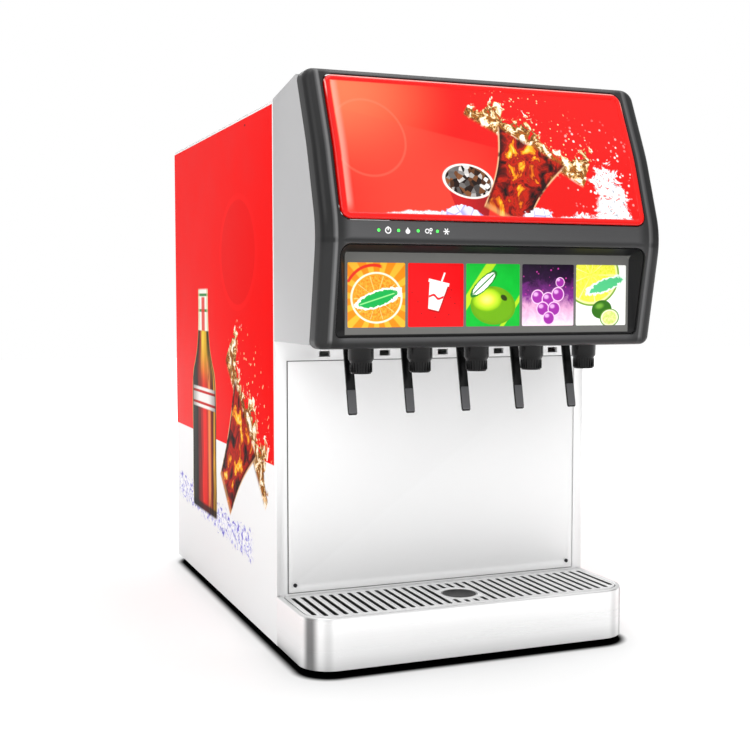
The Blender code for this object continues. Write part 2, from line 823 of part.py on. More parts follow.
def make_rear_panel():
    side = SIDE_INNER
    top = CABINET_HEIGHT - SKIN - TOUCH
    panel = block("rear_panel", (-side, REAR_INNER, 0.0), (side, REAR_FACE, top), WHITE_PAINT)
    bay = block(
        "bay_box",
        (BAY_LEFT - SKIN, BAY_WALL_Y - SKIN, BAY_BOTTOM - SKIN),
        (BAY_RIGHT + SKIN, REAR_FACE - SKIN / 2, BAY_TOP + SKIN),
    )
    join(panel, bay)
    space = block(
        "bay_space",
        (BAY_LEFT, BAY_WALL_Y, BAY_BOTTOM),
        (BAY_RIGHT, REAR_FACE + SKIN, BAY_TOP),
    )
    room = BARB_RADIUS + BARB_CLEARANCE
    barb_holes = blocks(
        "barb_holes",
        [
            (
                (x - room, BAY_WALL_Y - 2 * SKIN, z - room),
                (x + room, BAY_WALL_Y + SKIN, z + room),
            )
            for x, z in barb_places()
        ],
    )
    sockets = blocks(
        "socket_holes",
        [
            socket_hole(INLET_HEIGHT, INLET_WIDTH, INLET_TALL),
            socket_hole(
                SWITCH_HEIGHT, SWITCH_WIDTH + SWITCH_BEZEL, 2 * SWITCH_RADIUS + SWITCH_BEZEL
            ),
        ],
    )
    vents = blocks(
        "rear_louvres",
        louvre_boxes(
            CONDENSER_LEFT + LOWER_LOUVRE_MARGIN,
            CONDENSER_RIGHT - LOWER_LOUVRE_MARGIN,
            LOWER_LOUVRE_HEIGHT,
            2,
            int((CONDENSER_TOP - LOWER_LOUVRE_HEIGHT) / LOUVRE_PITCH) - 1,
        )
        + louvre_boxes(
            -HALF + UPPER_LOUVRE_MARGIN,
            HALF - UPPER_LOUVRE_MARGIN,
            CABINET_HEIGHT - UPPER_LOUVRE_DROP,
            3,
            UPPER_LOUVRE_ROWS,
        ),
    )
    cut(panel, space, barb_holes, sockets, vents, drain_passage("rear_drain_passage"))


def socket_hole(height, width, tall):
    """A hole in the bay's wall for a fitting of the given size."""
    return (
        (INLET_X - width / 2 - SLIP, BAY_WALL_Y - 2 * SKIN, height - tall / 2 - SLIP),
        (INLET_X + width / 2 + SLIP, BAY_WALL_Y + SKIN, height + tall / 2 + SLIP),
    )


def make_top_cover():
    top = CABINET_HEIGHT
    edge = FRAME_DEPTH + TOUCH
    cover = block("top_cover", (-HALF, edge, top - SKIN), (HALF, CABINET_DEPTH, top), WHITE_PAINT)
    inset = FLANGE + SLIP
    front = edge + COVER_EASE
    back = REAR_INNER - COVER_EASE
    skirt = block(
        "cover_skirt",
        (-HALF + inset, front, top - COVER_SKIRT),
        (HALF - inset, back, top - SKIN / 2),
    )
    hollow = block(
        "cover_hollow",
        (-HALF + inset + SKIN, front + SKIN, top - 2 * COVER_SKIRT),
        (HALF - inset - SKIN, back - SKIN, top - SKIN),
    )
    join(cover, skirt)
    cut(cover, hollow)


def make_feet():
    """Four low rubber feet, the lowest things on the machine."""
    places = [
        (x, y)
        for x in (-HALF + FOOT_INSET, HALF - FOOT_INSET)
        for y in (FOOT_INSET, CABINET_DEPTH - FOOT_INSET)
    ]
    for number, (x, y) in enumerate(places, 1):
        profile = [
            (0.0, -TOUCH),
            (FOOT_RADIUS, -TOUCH),
            (FOOT_RADIUS, -FOOT_HEIGHT * 0.4),
            (FOOT_RADIUS * 0.86, -FOOT_HEIGHT),
            (0.0, -FOOT_HEIGHT),
        ]
        turned(f"foot_{number}", profile, (x, y, 0.0), BLACK_RUBBER, steps=16)


def make_front_frame():
    """Columns and header round the splash plate, with a ledge that the plate sits on."""
    frame = block(
        "front_frame", (-HALF, 0.0, 0.0), (HALF, FRAME_DEPTH, HEAD_BOTTOM - TOUCH), BRIGHT_STEEL
    )
    rebate = block(
        "splash_rebate",
        (-OPENING_HALF_WIDTH, -SKIN, SILL_HEIGHT),
        (OPENING_HALF_WIDTH, SKIN + SLIP, OPENING_TOP),
    )
    window = block(
        "splash_window",
        (-OPENING_HALF_WIDTH + LEDGE, -SKIN, SCREW_HEIGHT + LEDGE),
        (OPENING_HALF_WIDTH - LEDGE, 2 * FRAME_DEPTH, OPENING_TOP - LEDGE),
    )
    slots = []
    for index in range(HOOK_SLOT_COUNT):
        x = HOOK_SLOT_FIRST_X + index * HOOK_SLOT_PITCH
        slots.append(
            (
                (x - HOOK_SLOT_WIDTH / 2, -SKIN, HOOK_SLOT_CENTRE - HOOK_SLOT_HEIGHT / 2),
                (x + HOOK_SLOT_WIDTH / 2, 2 * FRAME_DEPTH, HOOK_SLOT_CENTRE + HOOK_SLOT_HEIGHT / 2),
            )
        )
    cut(frame, rebate, window, blocks("hook_slots", slots), drain_passage("frame_drain_passage"))
    for name, side in (("left", -1), ("right", 1)):
        hole = rod(
            f"frame_screw_hole_{name}",
            SHANK_RADIUS + SLIP,
            (side * SCREW_X, -SKIN, SCREW_HEIGHT),
            4 * FRAME_DEPTH,
            "Y",
            sides=16,
        )
        cut(frame, hole)


def make_splash_plate():
    plate = block(
        "splash_plate",
        (-OPENING_HALF_WIDTH + SPLASH_GAP, 0.0, SILL_HEIGHT + SLIP),
        (OPENING_HALF_WIDTH - SPLASH_GAP, SKIN, OPENING_TOP - SPLASH_GAP),
        BRIGHT_STEEL,
    )
    for name, side in (("left", -1), ("right", 1)):
        hole = rod(
            f"plate_screw_hole_{name}",
            SHANK_RADIUS + SLIP / 2,
            (side * SCREW_X, -SKIN, SCREW_HEIGHT),
            4 * SKIN,
            "Y",
            sides=16,
        )
        cut(plate, hole)
        head = rod(
            f"splash_screw_{name}",
            SCREW_RADIUS,
            (side * SCREW_X, -SCREW_HEAD_TALL - TOUCH, SCREW_HEIGHT),
            SCREW_HEAD_TALL,
            "Y",
            DARK_SCREW,
            sides=16,
        )
        shank = rod(
            f"screw_shank_{name}",
            SHANK_RADIUS,
            (side * SCREW_X, -SCREW_HEAD_TALL, SCREW_HEIGHT),
            1.5 * FRAME_DEPTH,
            "Y",
            sides=12,
        )
        join(head, shank)


# ---------------------------------------------------------------- head


def make_head_housing():
    """The light grey shell between the cabinet and the fascia, open at both ends."""
    line = front_profile(FASCIA_DEPTH + TOUCH, HEAD_BOTTOM, FASCIA_TOP)
    below = [(y, z) for y, z in line if z < head_top(y)]
    outline = [(FRAME_DEPTH, HEAD_BOTTOM)] + below
    outline += [top_meeting(below[-1], line[-1]), (FRAME_DEPTH, head_top(FRAME_DEPTH))]
    shell = prism("head_housing", [outline], -HALF, HALF, "X", GREY_SHELL)
    reach = 2 * HEAD_REACH
    behind = 2 * FRAME_DEPTH
    inner = [
        (behind, HEAD_BOTTOM + HEAD_WALL),
        (-reach, HEAD_BOTTOM + HEAD_WALL),
        (-reach, head_top(-reach) - HEAD_WALL),
        (behind, head_top(behind) - HEAD_WALL),
    ]
    cut(shell, prism("head_space", [inner], -HALF + HEAD_WALL, HALF - HEAD_WALL, "X"))
    holes = [nozzle_hole(index) for index in range(VALVE_COUNT)]
    cut(shell, prism("nozzle_holes", holes, HEAD_BOTTOM - SKIN, DECK + SKIN, "Z"))
    lever_slots = []
    for index in range(VALVE_COUNT):
        x = centred(VALVE_COUNT, VALVE_PITCH, index)
        half = LEVER_WIDTH / 2 + SLIP * 2
        lever_slots.append(
            (
                (x - half, LEVER_SLOT_FRONT, HEAD_BOTTOM - SKIN),
                (x + half, LEVER_SLOT_BACK, DECK + SKIN),
            )
        )
    cut(shell, blocks("lever_slots", lever_slots))


def nozzle_hole(index):
    """Round clearance for a nozzle through the head's floor."""
    x = centred(VALVE_COUNT, VALVE_PITCH, index)
    sides = 24
    return [
        (
            x + SOCKET_RADIUS * math.cos(2 * math.pi * step / sides),
            NOZZLE_Y + SOCKET_RADIUS * math.sin(2 * math.pi * step / sides),
        )
        for step in range(sides)
    ]


def fascia_slab(name, setback, thickness, bottom, top, material=None):
    """A slab that follows the fascia's face over the machine's width."""
    line = front_profile(setback, bottom, top)
    back = [(y + thickness, z) for y, z in reversed(line)]
    return prism(name, [line + back], -HALF, HALF, "X", material)


def face_window(name, half_width, bottom, top, corner, top_corner=None):
    """A straight cutter from front to back with the outline of an opening."""
    outline = rounded_box(-half_width, bottom, half_width, top, corner, top_corner, steps=5)
    return prism(name, [outline], -2 * HEAD_REACH, 0.0, "Y")


def make_fascia():
    fascia = fascia_slab(
        "fascia_bezel", 0.0, FASCIA_DEPTH, FASCIA_BOTTOM, FASCIA_TOP, BLACK_PLASTIC
    )
    edge = face_window(
        "fascia_outline", HALF, FASCIA_BOTTOM, FASCIA_TOP, FASCIA_BOTTOM_CORNER, FASCIA_TOP_CORNER
    )
    combine(fascia, "INTERSECT", edge)
    round_front(settle(fascia), FASCIA_EDGE, 4)
    hollow_bottom = FASCIA_BOTTOM + FASCIA_BOTTOM_LIP
    hollow_top = FASCIA_TOP - FASCIA_TOP_LIP
    line = front_profile(FASCIA_WALL, hollow_bottom, hollow_top)
    back = [(y + 2 * FASCIA_DEPTH, z) for y, z in reversed(line)]
    side = HALF - FASCIA_WALL
    hollow = prism("fascia_hollow", [line + back], -side, side, "X")
    trim = face_window(
        "hollow_outline",
        side,
        hollow_bottom,
        hollow_top,
        FASCIA_BOTTOM_CORNER / 2,
        FASCIA_TOP_CORNER / 2,
    )
    combine(hollow, "INTERSECT", trim)
    lens_window = face_window(
        "lens_window",
        LENS_HALF_WIDTH + LENS_GAP,
        LENS_BOTTOM - LENS_GAP,
        LENS_TOP + LENS_GAP,
        LENS_CORNER + LENS_GAP,
    )
    card_window = face_window(
        "card_window",
        TRAY_WINDOW_HALF_WIDTH,
        TRAY_WINDOW_BOTTOM,
        TRAY_WINDOW_TOP,
        TRAY_WINDOW_CORNER / 2,
        TRAY_WINDOW_CORNER,
    )
    cut(fascia, hollow, lens_window, card_window)
    for index in range(LAMP_COUNT):
        hole = rod(
            f"lamp_hole_{index + 1}",
            LAMP_RADIUS + TOUCH,
            (LAMP_FIRST_X + index * LAMP_PITCH, -HEAD_REACH - SLIP, LAMP_HEIGHT),
            4 * FASCIA_WALL,
            "Y",
            sides=12,
        )
        cut(fascia, hole)


def make_lens():
    """The lit red lens, standing a little proud of the fascia."""
    lens = fascia_slab(
        "lightbox_lens", -LENS_PROUD, LENS_WALL + LENS_PROUD, LENS_BOTTOM, LENS_TOP, RED_LENS
    )
    edge = face_window("lens_outline", LENS_HALF_WIDTH, LENS_BOTTOM, LENS_TOP, LENS_CORNER)
    combine(lens, "INTERSECT", edge)
    round_front(settle(lens), LENS_PROUD * 1.6, 3)


def make_light_board():
    """The lamp board that lights the lens from behind, parallel to it."""
    lean = (MIDDLE_LEAN + UPPER_LEAN) / 2
    height = (LENS_BOTTOM + LENS_TOP) / 2
    y = front_at(height) + LIGHT_BOARD_SETBACK
    half_tall = LENS_TALL / 2 - 1.5 * LIGHT_BOARD_INSET
    half_wide = LENS_HALF_WIDTH - LIGHT_BOARD_INSET
    half_thick = LIGHT_BOARD_THICKNESS / 2
    board = block(
        "light_board",
        (-half_wide, y - half_thick, height - half_tall),
        (half_wide, y + half_thick, height + half_tall),
        ALUMINIUM,
        (-lean, 0.0, 0.0),
    )
    along = Vector((0.0, math.sin(lean), math.cos(lean)))
    strip_wide = half_wide - LIGHT_BOARD_INSET
    for index in range(LAMP_STRIP_COUNT):
        offset = centred(LAMP_STRIP_COUNT, LAMP_STRIP_PITCH, index)
        centre = Vector((0.0, y, height)) + along * offset
        strip = block(
            f"lamp_strip_{index + 1}",
            (-strip_wide, centre.y - 3 * half_thick, centre.z - LAMP_STRIP_TALL / 2),
            (strip_wide, centre.y + half_thick / 2, centre.z + LAMP_STRIP_TALL / 2),
            None,
            (-lean, 0.0, 0.0),
        )
        join(board, strip)


def make_card_tray():
    """The sunk tray that holds the flavour cards, its walls sloping in to an upright floor."""
    bottom = TRAY_WINDOW_BOTTOM + SEAM
    top = TRAY_WINDOW_TOP - SEAM
    line = front_profile(SEAM / 2, bottom, top)
    floor_back = CARD_FLOOR_Y + CARD_FLOOR_WALL
    outline = line + [(floor_back, top), (floor_back, bottom)]
    tray = prism("label_panel", [outline], -HALF, HALF, "X", CARD_TRAY_GREY)
    edge = face_window(
        "card_tray_outline",
        TRAY_WINDOW_HALF_WIDTH - SEAM,
        bottom,
        top,
        TRAY_WINDOW_CORNER / 2 - SEAM,
        TRAY_WINDOW_CORNER - SEAM,
    )
    combine(tray, "INTERSECT", edge)
    mouth_y = -HEAD_REACH
    sunk = rounded_box(
        -CARD_FLOOR_HALF_WIDTH,
        CARD_FLOOR_BOTTOM,
        CARD_FLOOR_HALF_WIDTH,
        CARD_FLOOR_TOP,
        CARD_FLOOR_CORNER,
        steps=3,
    )
    pocket = prism("card_pocket", [sunk], mouth_y, CARD_FLOOR_Y, "Y")
    flare = (TRAY_WINDOW_HALF_WIDTH - 2 * SEAM) / CARD_FLOOR_HALF_WIDTH
    rise = (top - SEAM - CARD_FLOOR_TOP) / (CARD_FLOOR_TOP - CARD_FLOOR_BOTTOM)
    half_deep = (CARD_FLOOR_Y - mouth_y) / 2
    for vertex in pocket.data.vertices:
        if vertex.co.z > half_deep / 2:
            share = (vertex.co.y - CARD_FLOOR_BOTTOM) / (CARD_FLOOR_TOP - CARD_FLOOR_BOTTOM)
            vertex.co.x *= flare
            vertex.co.y += share * rise * (CARD_FLOOR_TOP - CARD_FLOOR_BOTTOM)
    cut(tray, pocket)


def make_cards():
    face = CARD_FLOOR_Y - TOUCH
    for index in range(CARD_COUNT):
        x = centred(CARD_COUNT, CARD_PITCH, index)
        outline = rounded_box(
            x - CARD_WIDTH / 2,
            CARD_BOTTOM,
            x + CARD_WIDTH / 2,
            CARD_BOTTOM + CARD_HEIGHT,
            CARD_CORNER,
            steps=2,
        )
        prism(
            f"flavour_card_{index + 1}", [outline], face - CARD_THICKNESS, face, "Y", CARD_PRINT
        )


def make_indicator_board():
    """A small board with the status lamps that look out through the fascia."""
    last_x = LAMP_FIRST_X + (LAMP_COUNT - 1) * LAMP_PITCH
    board_y = -HEAD_REACH + FASCIA_WALL + LAMP_BOARD_SETBACK
    half_tall = LAMP_BOARD_TALL / 2
    board = block(
        "indicator_board",
        (LAMP_FIRST_X - half_tall, board_y, LAMP_HEIGHT - half_tall),
        (last_x + half_tall, board_y + LAMP_BOARD_THICKNESS, LAMP_HEIGHT + half_tall),
        LAMP_GREEN,
    )
    for index in range(LAMP_COUNT):
        lamp = rod(
            f"lamp_{index + 1}",
            LAMP_RADIUS,
            (LAMP_FIRST_X + index * LAMP_PITCH, -HEAD_REACH + TOUCH, LAMP_HEIGHT),
            FASCIA_WALL + LAMP_BOARD_SETBACK,
            "Y",
            sides=12,
        )
        join(board, lamp)


# ---------------------------------------------------------------- valves


def make_valve_rail():
    """The back block that the valves plug into."""
    half = centred(VALVE_COUNT, VALVE_PITCH, VALVE_COUNT - 1) + VALVE_WIDTH / 2
    back = RAIL_FRONT + RAIL_THICKNESS
    rail = block(
        "valve_rail", (-half, RAIL_FRONT, DECK), (half, back, DECK + RAIL_TALL), GALVANISED
    )
    room = SPIGOT_RADIUS + PORT_CLEARANCE
    ports = []
    for index in range(VALVE_COUNT):
        x = centred(VALVE_COUNT, VALVE_PITCH, index)
        for side in (-1, 1):
            port_x = x + side * VALVE_WIDTH / 4
            ports.append(
                (
                    (port_x - room, RAIL_FRONT - room, DECK + SPIGOT_RISE - room),
                    (port_x + room, RAIL_FRONT + room, DECK + SPIGOT_RISE + room),
                )
            )
    cut(rail, blocks("rail_ports", ports))


def make_valve(index):
    """A dispensing valve: block, solenoid, flow adjusters and two inlet spigots."""
    x = centred(VALVE_COUNT, VALVE_PITCH, index)
    number = index + 1
    half = VALVE_WIDTH / 2
    body = block(
        f"valve_body_{number}",
        (x - half, VALVE_FRONT, DECK),
        (x + half, VALVE_BACK, VALVE_TOP),
        BLACK_PLASTIC,
    )
    sunk = HEAD_WALL
    solenoid = rod(
        f"solenoid_{number}",
        SOLENOID_RADIUS,
        (x, VALVE_BACK - 2 * SOLENOID_RADIUS, VALVE_TOP - sunk),
        SOLENOID_TALL + sunk,
        sides=12,
    )
    join(body, solenoid)
    for side in (-1, 1):
        tag = f"{number}_{'a' if side < 0 else 'b'}"
        adjuster = rod(
            f"adjuster_{tag}",
            ADJUSTER_RADIUS,
            (x + side * half / 2, VALVE_FRONT + 2 * ADJUSTER_RADIUS, VALVE_TOP - sunk),
            ADJUSTER_TALL + sunk,
            sides=8,
        )
        spigot = rod(
            f"spigot_{tag}",
            SPIGOT_RADIUS,
            (x + side * half / 2, VALVE_BACK - sunk, DECK + SPIGOT_RISE),
            RAIL_FRONT + SPIGOT_RADIUS - VALVE_BACK + sunk,
            "Y",
            sides=8,
        )
        join(body, adjuster, spigot)
    socket = rod(
        f"nozzle_socket_{number}",
        SOCKET_RADIUS,
        (x, NOZZLE_Y, DECK - SKIN),
        NOZZLE_HEAD + SLIP - DECK + SKIN,
        sides=20,
    )
    pocket = block(
        f"lever_pocket_{number}",
        (x - HUB_WIDTH / 2 - SLIP, LEVER_SLOT_FRONT - SLIP, DECK - SKIN),
        (
            x + HUB_WIDTH / 2 + SLIP,
            LEVER_SLOT_BACK + SLIP,
            LEVER_PIVOT_HEIGHT + HUB_RADIUS + LEVER_ROOM,
        ),
    )
    bearing = rod(
        f"lever_bearing_{number}",
        AXLE_RADIUS + AXLE_CLEARANCE,
        (x - HUB_WIDTH / 2 - AXLE_OVERHANG - SLIP, LEVER_Y, LEVER_PIVOT_HEIGHT),
        HUB_WIDTH + 2 * (AXLE_OVERHANG + SLIP),
        "X",
        sides=12,
    )
    cut(body, socket, pocket, bearing)


def make_nozzle(index):
    """A tapered outlet with a sunk mouth and a lug that locks it in its socket."""
    x = centred(VALVE_COUNT, VALVE_PITCH, index)
    profile = [
        (0.0, NOZZLE_HEAD),
        (NOZZLE_RADIUS, NOZZLE_HEAD),
        (NOZZLE_RADIUS, NOZZLE_SHOULDER),
        (NOZZLE_RADIUS - SLIP, NOZZLE_SHOULDER - SLIP),
        (NOZZLE_TIP_RADIUS, NOZZLE_BOTTOM),
        (NOZZLE_BORE_RADIUS, NOZZLE_BOTTOM),
        (NOZZLE_BORE_RADIUS - SLIP, NOZZLE_BOTTOM + NOZZLE_BORE_DEPTH),
        (0.0, NOZZLE_BOTTOM + NOZZLE_BORE_DEPTH),
    ]
    nozzle = turned(f"nozzle_{index + 1}", profile, (x, NOZZLE_Y, 0.0), BLACK_PLASTIC, 20)
    half = NOZZLE_LUG_WIDTH / 2
    lug_top = NOZZLE_HEAD - NOZZLE_LUG_TALL
    lug = block(
        f"nozzle_lug_{index + 1}",
        (x - half, NOZZLE_Y + NOZZLE_RADIUS - half, lug_top - NOZZLE_LUG_TALL),
        (x + half, NOZZLE_Y + NOZZLE_RADIUS + SOCKET_CLEARANCE / 2, lug_top),
    )
    join(nozzle, lug)


def make_lever(index):
    """A cup lever, made upright about its pivot and then leant forward."""
    x = centred(VALVE_COUNT, VALVE_PITCH, index)
    arm = LEVER_WIDTH / 2
    pad = PADDLE_WIDTH / 2
    pad_top = -LEVER_LENGTH + PADDLE_LENGTH
    outline = rounded(
        [
            (-pad, -LEVER_LENGTH, LEVER_THICKNESS / 3),
            (pad, -LEVER_LENGTH, LEVER_THICKNESS / 3),
            (pad, pad_top, 0.0),
            (arm, pad_top + PADDLE_SHOULDER, 0.0),
            (arm, 0.0, 0.0),
            (-arm, 0.0, 0.0),
            (-arm, pad_top + PADDLE_SHOULDER, 0.0),
            (-pad, pad_top, 0.0),
        ],
        steps=2,
    )
    pivot = (x, LEVER_Y, LEVER_PIVOT_HEIGHT)
    half = LEVER_THICKNESS / 2
    lever = prism(f"lever_{index + 1}", [outline], -half, half, "Y", BLACK_PLASTIC)
    lever.data.transform(Matrix.Rotation(math.pi / 2, 4, "X"))
    lever.rotation_euler = (-LEVER_LEAN, 0.0, 0.0)
    lever.location = pivot
    hub = rod(
        f"lever_hub_{index + 1}",
        HUB_RADIUS,
        (x - HUB_WIDTH / 2, LEVER_Y, LEVER_PIVOT_HEIGHT),
        HUB_WIDTH,
        "X",
        sides=12,
    )
    axle = rod(
        f"lever_axle_{index + 1}",
        AXLE_RADIUS,
        (x - HUB_WIDTH / 2 - AXLE_OVERHANG, LEVER_Y, LEVER_PIVOT_HEIGHT),
        HUB_WIDTH + 2 * AXLE_OVERHANG,
        "X",
        sides=10,
    )
    join(lever, hub, axle)


# ---------------------------------------------------------------- drip tray


def make_drip_tray():
    tray = prism("drip_tray", [tray_outline(0.0)], 0.0, TRAY_HEIGHT, "Z", BRIGHT_STEEL)
    basin_top = GRILLE_BOTTOM - TOUCH - TRAY_LEDGE_TALL
    basin = prism("tray_basin", [tray_outline(TRAY_WALL)], TRAY_FLOOR, basin_top, "Z")
    mouth = prism(
        "tray_mouth", [tray_outline(TRAY_RIM + TRAY_LEDGE)], TRAY_FLOOR * 2, TRAY_HEIGHT * 2, "Z"
    )
    rebate = prism(
        "tray_rebate",
        [tray_outline(TRAY_RIM)],
        GRILLE_BOTTOM - TOUCH,
        TRAY_HEIGHT * 2,
        "Z",
    )
    cut(tray, basin, mouth, rebate, drain_passage("tray_drain_passage"))


def make_drip_grille():
    bottom = GRILLE_BOTTOM
    grille = prism(
        "drip_grille", [tray_outline(TRAY_RIM + SLIP)], bottom, TRAY_HEIGHT, "Z", BRIGHT_STEEL
    )
    slots = []
    half = GRILLE_SLOT_WIDTH / 2
    count = int(2 * (HALF - TRAY_RIM - GRILLE_SIDE_BORDER) / GRILLE_SLOT_PITCH / 2) * 2
    clear = DRAIN_RADIUS + DRAIN_RIM
    corner = TRAY_CORNER - TRAY_RIM
    corner_x = HALF - TRAY_RIM - corner
    for index in range(count):
        x = centred(count, GRILLE_SLOT_PITCH, index)
        front = GRILLE_SLOT_FRONT
        past = abs(x) - corner_x
        if past > 0.0:
            front += corner - math.sqrt(corner * corner - past * past)
        if abs(x) > clear:
            spans = [(front, -GRILLE_BACK_BORDER)]
        else:
            reach = math.sqrt(clear * clear - x * x)
            spans = [(front, DRAIN_Y - reach), (DRAIN_Y + reach, -GRILLE_BACK_BORDER)]
        for low, high in spans:
            slots.append(rounded_box(x - half, low, x + half, high, half * 0.9, steps=2))
    cut(grille, prism("grille_slots", slots, bottom - SKIN, TRAY_HEIGHT + SKIN, "Z"))
    drain = rod(
        "grille_drain_hole", DRAIN_RADIUS, (0.0, DRAIN_Y, bottom - SKIN), 4 * SKIN, sides=32
    )
    cut(grille, drain)


def make_strainer():
    """A dished black strainer that hangs in the grille's round hole."""
    radius = DRAIN_RADIUS - SLIP
    dish = TRAY_HEIGHT - GRILLE_THICKNESS / 2
    profile = [
        (0.0, dish),
        (radius - DRAIN_RIM, dish),
        (radius - DRAIN_RIM / 2, TRAY_HEIGHT),
        (radius, TRAY_HEIGHT - TOUCH),
        (radius, GRILLE_BOTTOM),
        (radius - DRAIN_RIM, TRAY_HEIGHT - STRAINER_DEPTH),
        (0.0, TRAY_HEIGHT - STRAINER_DEPTH),
    ]
    turned("drain_strainer", profile, (0.0, DRAIN_Y, 0.0), BLACK_PLASTIC, 28)


def make_drain_pipe():
    start = -TRAY_WALL - PIPE_REACH_INTO_TRAY + SLIP
    length = CABINET_DEPTH - SKIN - start
    pipe = rod(
        "drain_pipe", PIPE_RADIUS, (PIPE_X, start, PIPE_HEIGHT), length, "Y", TANK_WHITE, sides=16
    )
    bore = rod(
        "pipe_bore",
        PIPE_BORE,
        (PIPE_X, start - SKIN, PIPE_HEIGHT),
        length + 2 * SKIN,
        "Y",
        sides=16,
    )
    cut(pipe, bore)


# ---------------------------------------------------------------- ice bath


def make_tank():
    tank = block(
        "ice_bath_tank",
        (-TANK_HALF_WIDTH, TANK_FRONT, TANK_BOTTOM),
        (TANK_HALF_WIDTH, TANK_BACK, TANK_TOP),
        TANK_WHITE,
    )
    space = block(
        "tank_space",
        (-TANK_HALF_WIDTH + TANK_WALL, TANK_FRONT + TANK_WALL, TANK_BOTTOM + TANK_WALL),
        (TANK_HALF_WIDTH - TANK_WALL, TANK_BACK - TANK_WALL, TANK_TOP * 1.1),
    )
    cut(tank, space)


def make_coil():
    """The evaporator: an open helix that the ice bank grows on."""
    steps = 16
    points = []
    for step in range(COIL_TURNS * steps + 1):
        angle = 2 * math.pi * step / steps
        points.append(
            (
                COIL_RADIUS * math.cos(angle),
                TANK_Y + COIL_RADIUS * math.sin(angle),
                COIL_BOTTOM + COIL_PITCH * step / steps,
            )
        )
    tube("evaporator_coil", points, COIL_TUBE, COPPER)


def make_carbonator():
    base = TANK_BOTTOM + TANK_WALL + TOUCH
    top = base + CARBONATOR_HEIGHT
    radius = CARBONATOR_RADIUS
    dome = radius * 0.35
    arc = [(radius * math.sin(a), math.cos(a)) for a in (math.pi / 8 * n for n in range(5))]
    profile = [(r, top - dome + dome * c) for r, c in arc]
    profile += [(r, base + dome - dome * c) for r, c in reversed(arc)]
    profile[0] = (0.0, profile[0][1])
    profile[-1] = (0.0, profile[-1][1])
    vessel = turned(
        "carbonator_tank", profile, (CARBONATOR_X, TANK_Y, 0.0), BRIGHT_STEEL, 20
    )
    neck = rod(
        "carbonator_neck",
        NECK_RADIUS,
        (CARBONATOR_X, TANK_Y, top - NECK_RADIUS / 2),
        NECK_TALL + NECK_RADIUS / 2,
        sides=12,
    )
    join(vessel, neck)


def make_agitator():
    """The stirrer's motor on its bridge, and the shaft and blades that it turns."""
    bridge_top = TANK_TOP + TOUCH + BRIDGE_THICKNESS
    bridge = block(
        "agitator_motor",
        (-TANK_HALF_WIDTH, TANK_Y - BRIDGE_WIDTH / 2, TANK_TOP + TOUCH),
        (TANK_HALF_WIDTH, TANK_Y + BRIDGE_WIDTH / 2, bridge_top),
        BLACK_ENAMEL,
    )
    motor = rod(
        "stirrer_motor",
        STIRRER_MOTOR_RADIUS,
        (AGITATOR_X, TANK_Y, bridge_top - SKIN),
        STIRRER_MOTOR_TALL + SKIN,
    )
    shaft_top = TANK_TOP + SHAFT_INSERT
    bore = rod(
        "shaft_bore",
        SHAFT_RADIUS + SLIP,
        (AGITATOR_X, TANK_Y, TANK_TOP - SKIN),
        SHAFT_INSERT + SKIN + SHAFT_RADIUS,
        sides=16,
    )
    join(bridge, motor)
    cut(bridge, bore)
    shaft = rod(
        "agitator_impeller",
        SHAFT_RADIUS,
        (AGITATOR_X, TANK_Y, IMPELLER_HEIGHT),
        shaft_top - IMPELLER_HEIGHT,
        "Z",
        BRIGHT_STEEL,
        sides=12,
    )
    hub = rod(
        "impeller_hub",
        2 * SHAFT_RADIUS,
        (AGITATOR_X, TANK_Y, IMPELLER_HEIGHT - SKIN),
        4 * SHAFT_RADIUS,
        sides=12,
    )
    join(shaft, hub)
    centre = (AGITATOR_X, TANK_Y, IMPELLER_HEIGHT + IMPELLER_CHORD / 2)
    add_blades(shaft, centre, 3, IMPELLER_RADIUS, IMPELLER_CHORD, IMPELLER_PITCH, "Z")


def add_blades(target, centre, count, radius, chord, pitch, axis):
    """Joins a ring of flat pitched blades to a hub that turns about an axis."""
    turn = Matrix.Identity(4) if axis == "Z" else Matrix.Rotation(math.pi / 2, 4, "X")
    root = SHAFT_RADIUS / 2
    length = radius - root
    out = Matrix.Translation((root + length / 2, 0.0, 0.0))
    for number in range(count):
        blade = block(f"{target.name}_blade_{number + 1}", (0, 0, 0), (length, chord, BLADE_THICKNESS))
        spin = Matrix.Rotation(2 * math.pi * number / count, 4, "Z")
        blade.matrix_basis = (
            Matrix.Translation(centre) @ turn @ spin @ out @ Matrix.Rotation(pitch, 4, "X")
        )
        join(target, blade)


# ---------------------------------------------------------------- refrigeration deck


def make_compressor():
    floor = PAN_FLOOR + TOUCH
    base = floor + COMPRESSOR_LEG
    radius = COMPRESSOR_RADIUS
    top = base + COMPRESSOR_TALL
    dome = radius * 0.8
    dish = radius * 0.5
    angles = [math.pi / 8 * n for n in range(5)]
    profile = [(radius * math.sin(a), top - dome + dome * math.cos(a)) for a in angles]
    profile += [
        (radius * math.sin(a), base + dish - dish * math.cos(a)) for a in reversed(angles)
    ]
    shell = turned(
        "compressor", profile, (COMPRESSOR_X, COMPRESSOR_Y, 0.0), BLACK_ENAMEL, 20
    )
    reach = radius * 0.62
    for number, (side_x, side_y) in enumerate(((-1, -1), (1, -1), (1, 1), (-1, 1)), 1):
        leg = rod(
            f"compressor_leg_{number}",
            COMPRESSOR_LEG / 2,
            (COMPRESSOR_X + side_x * reach, COMPRESSOR_Y + side_y * reach, floor),
            2 * COMPRESSOR_LEG,
            sides=8,
        )
        join(shell, leg)


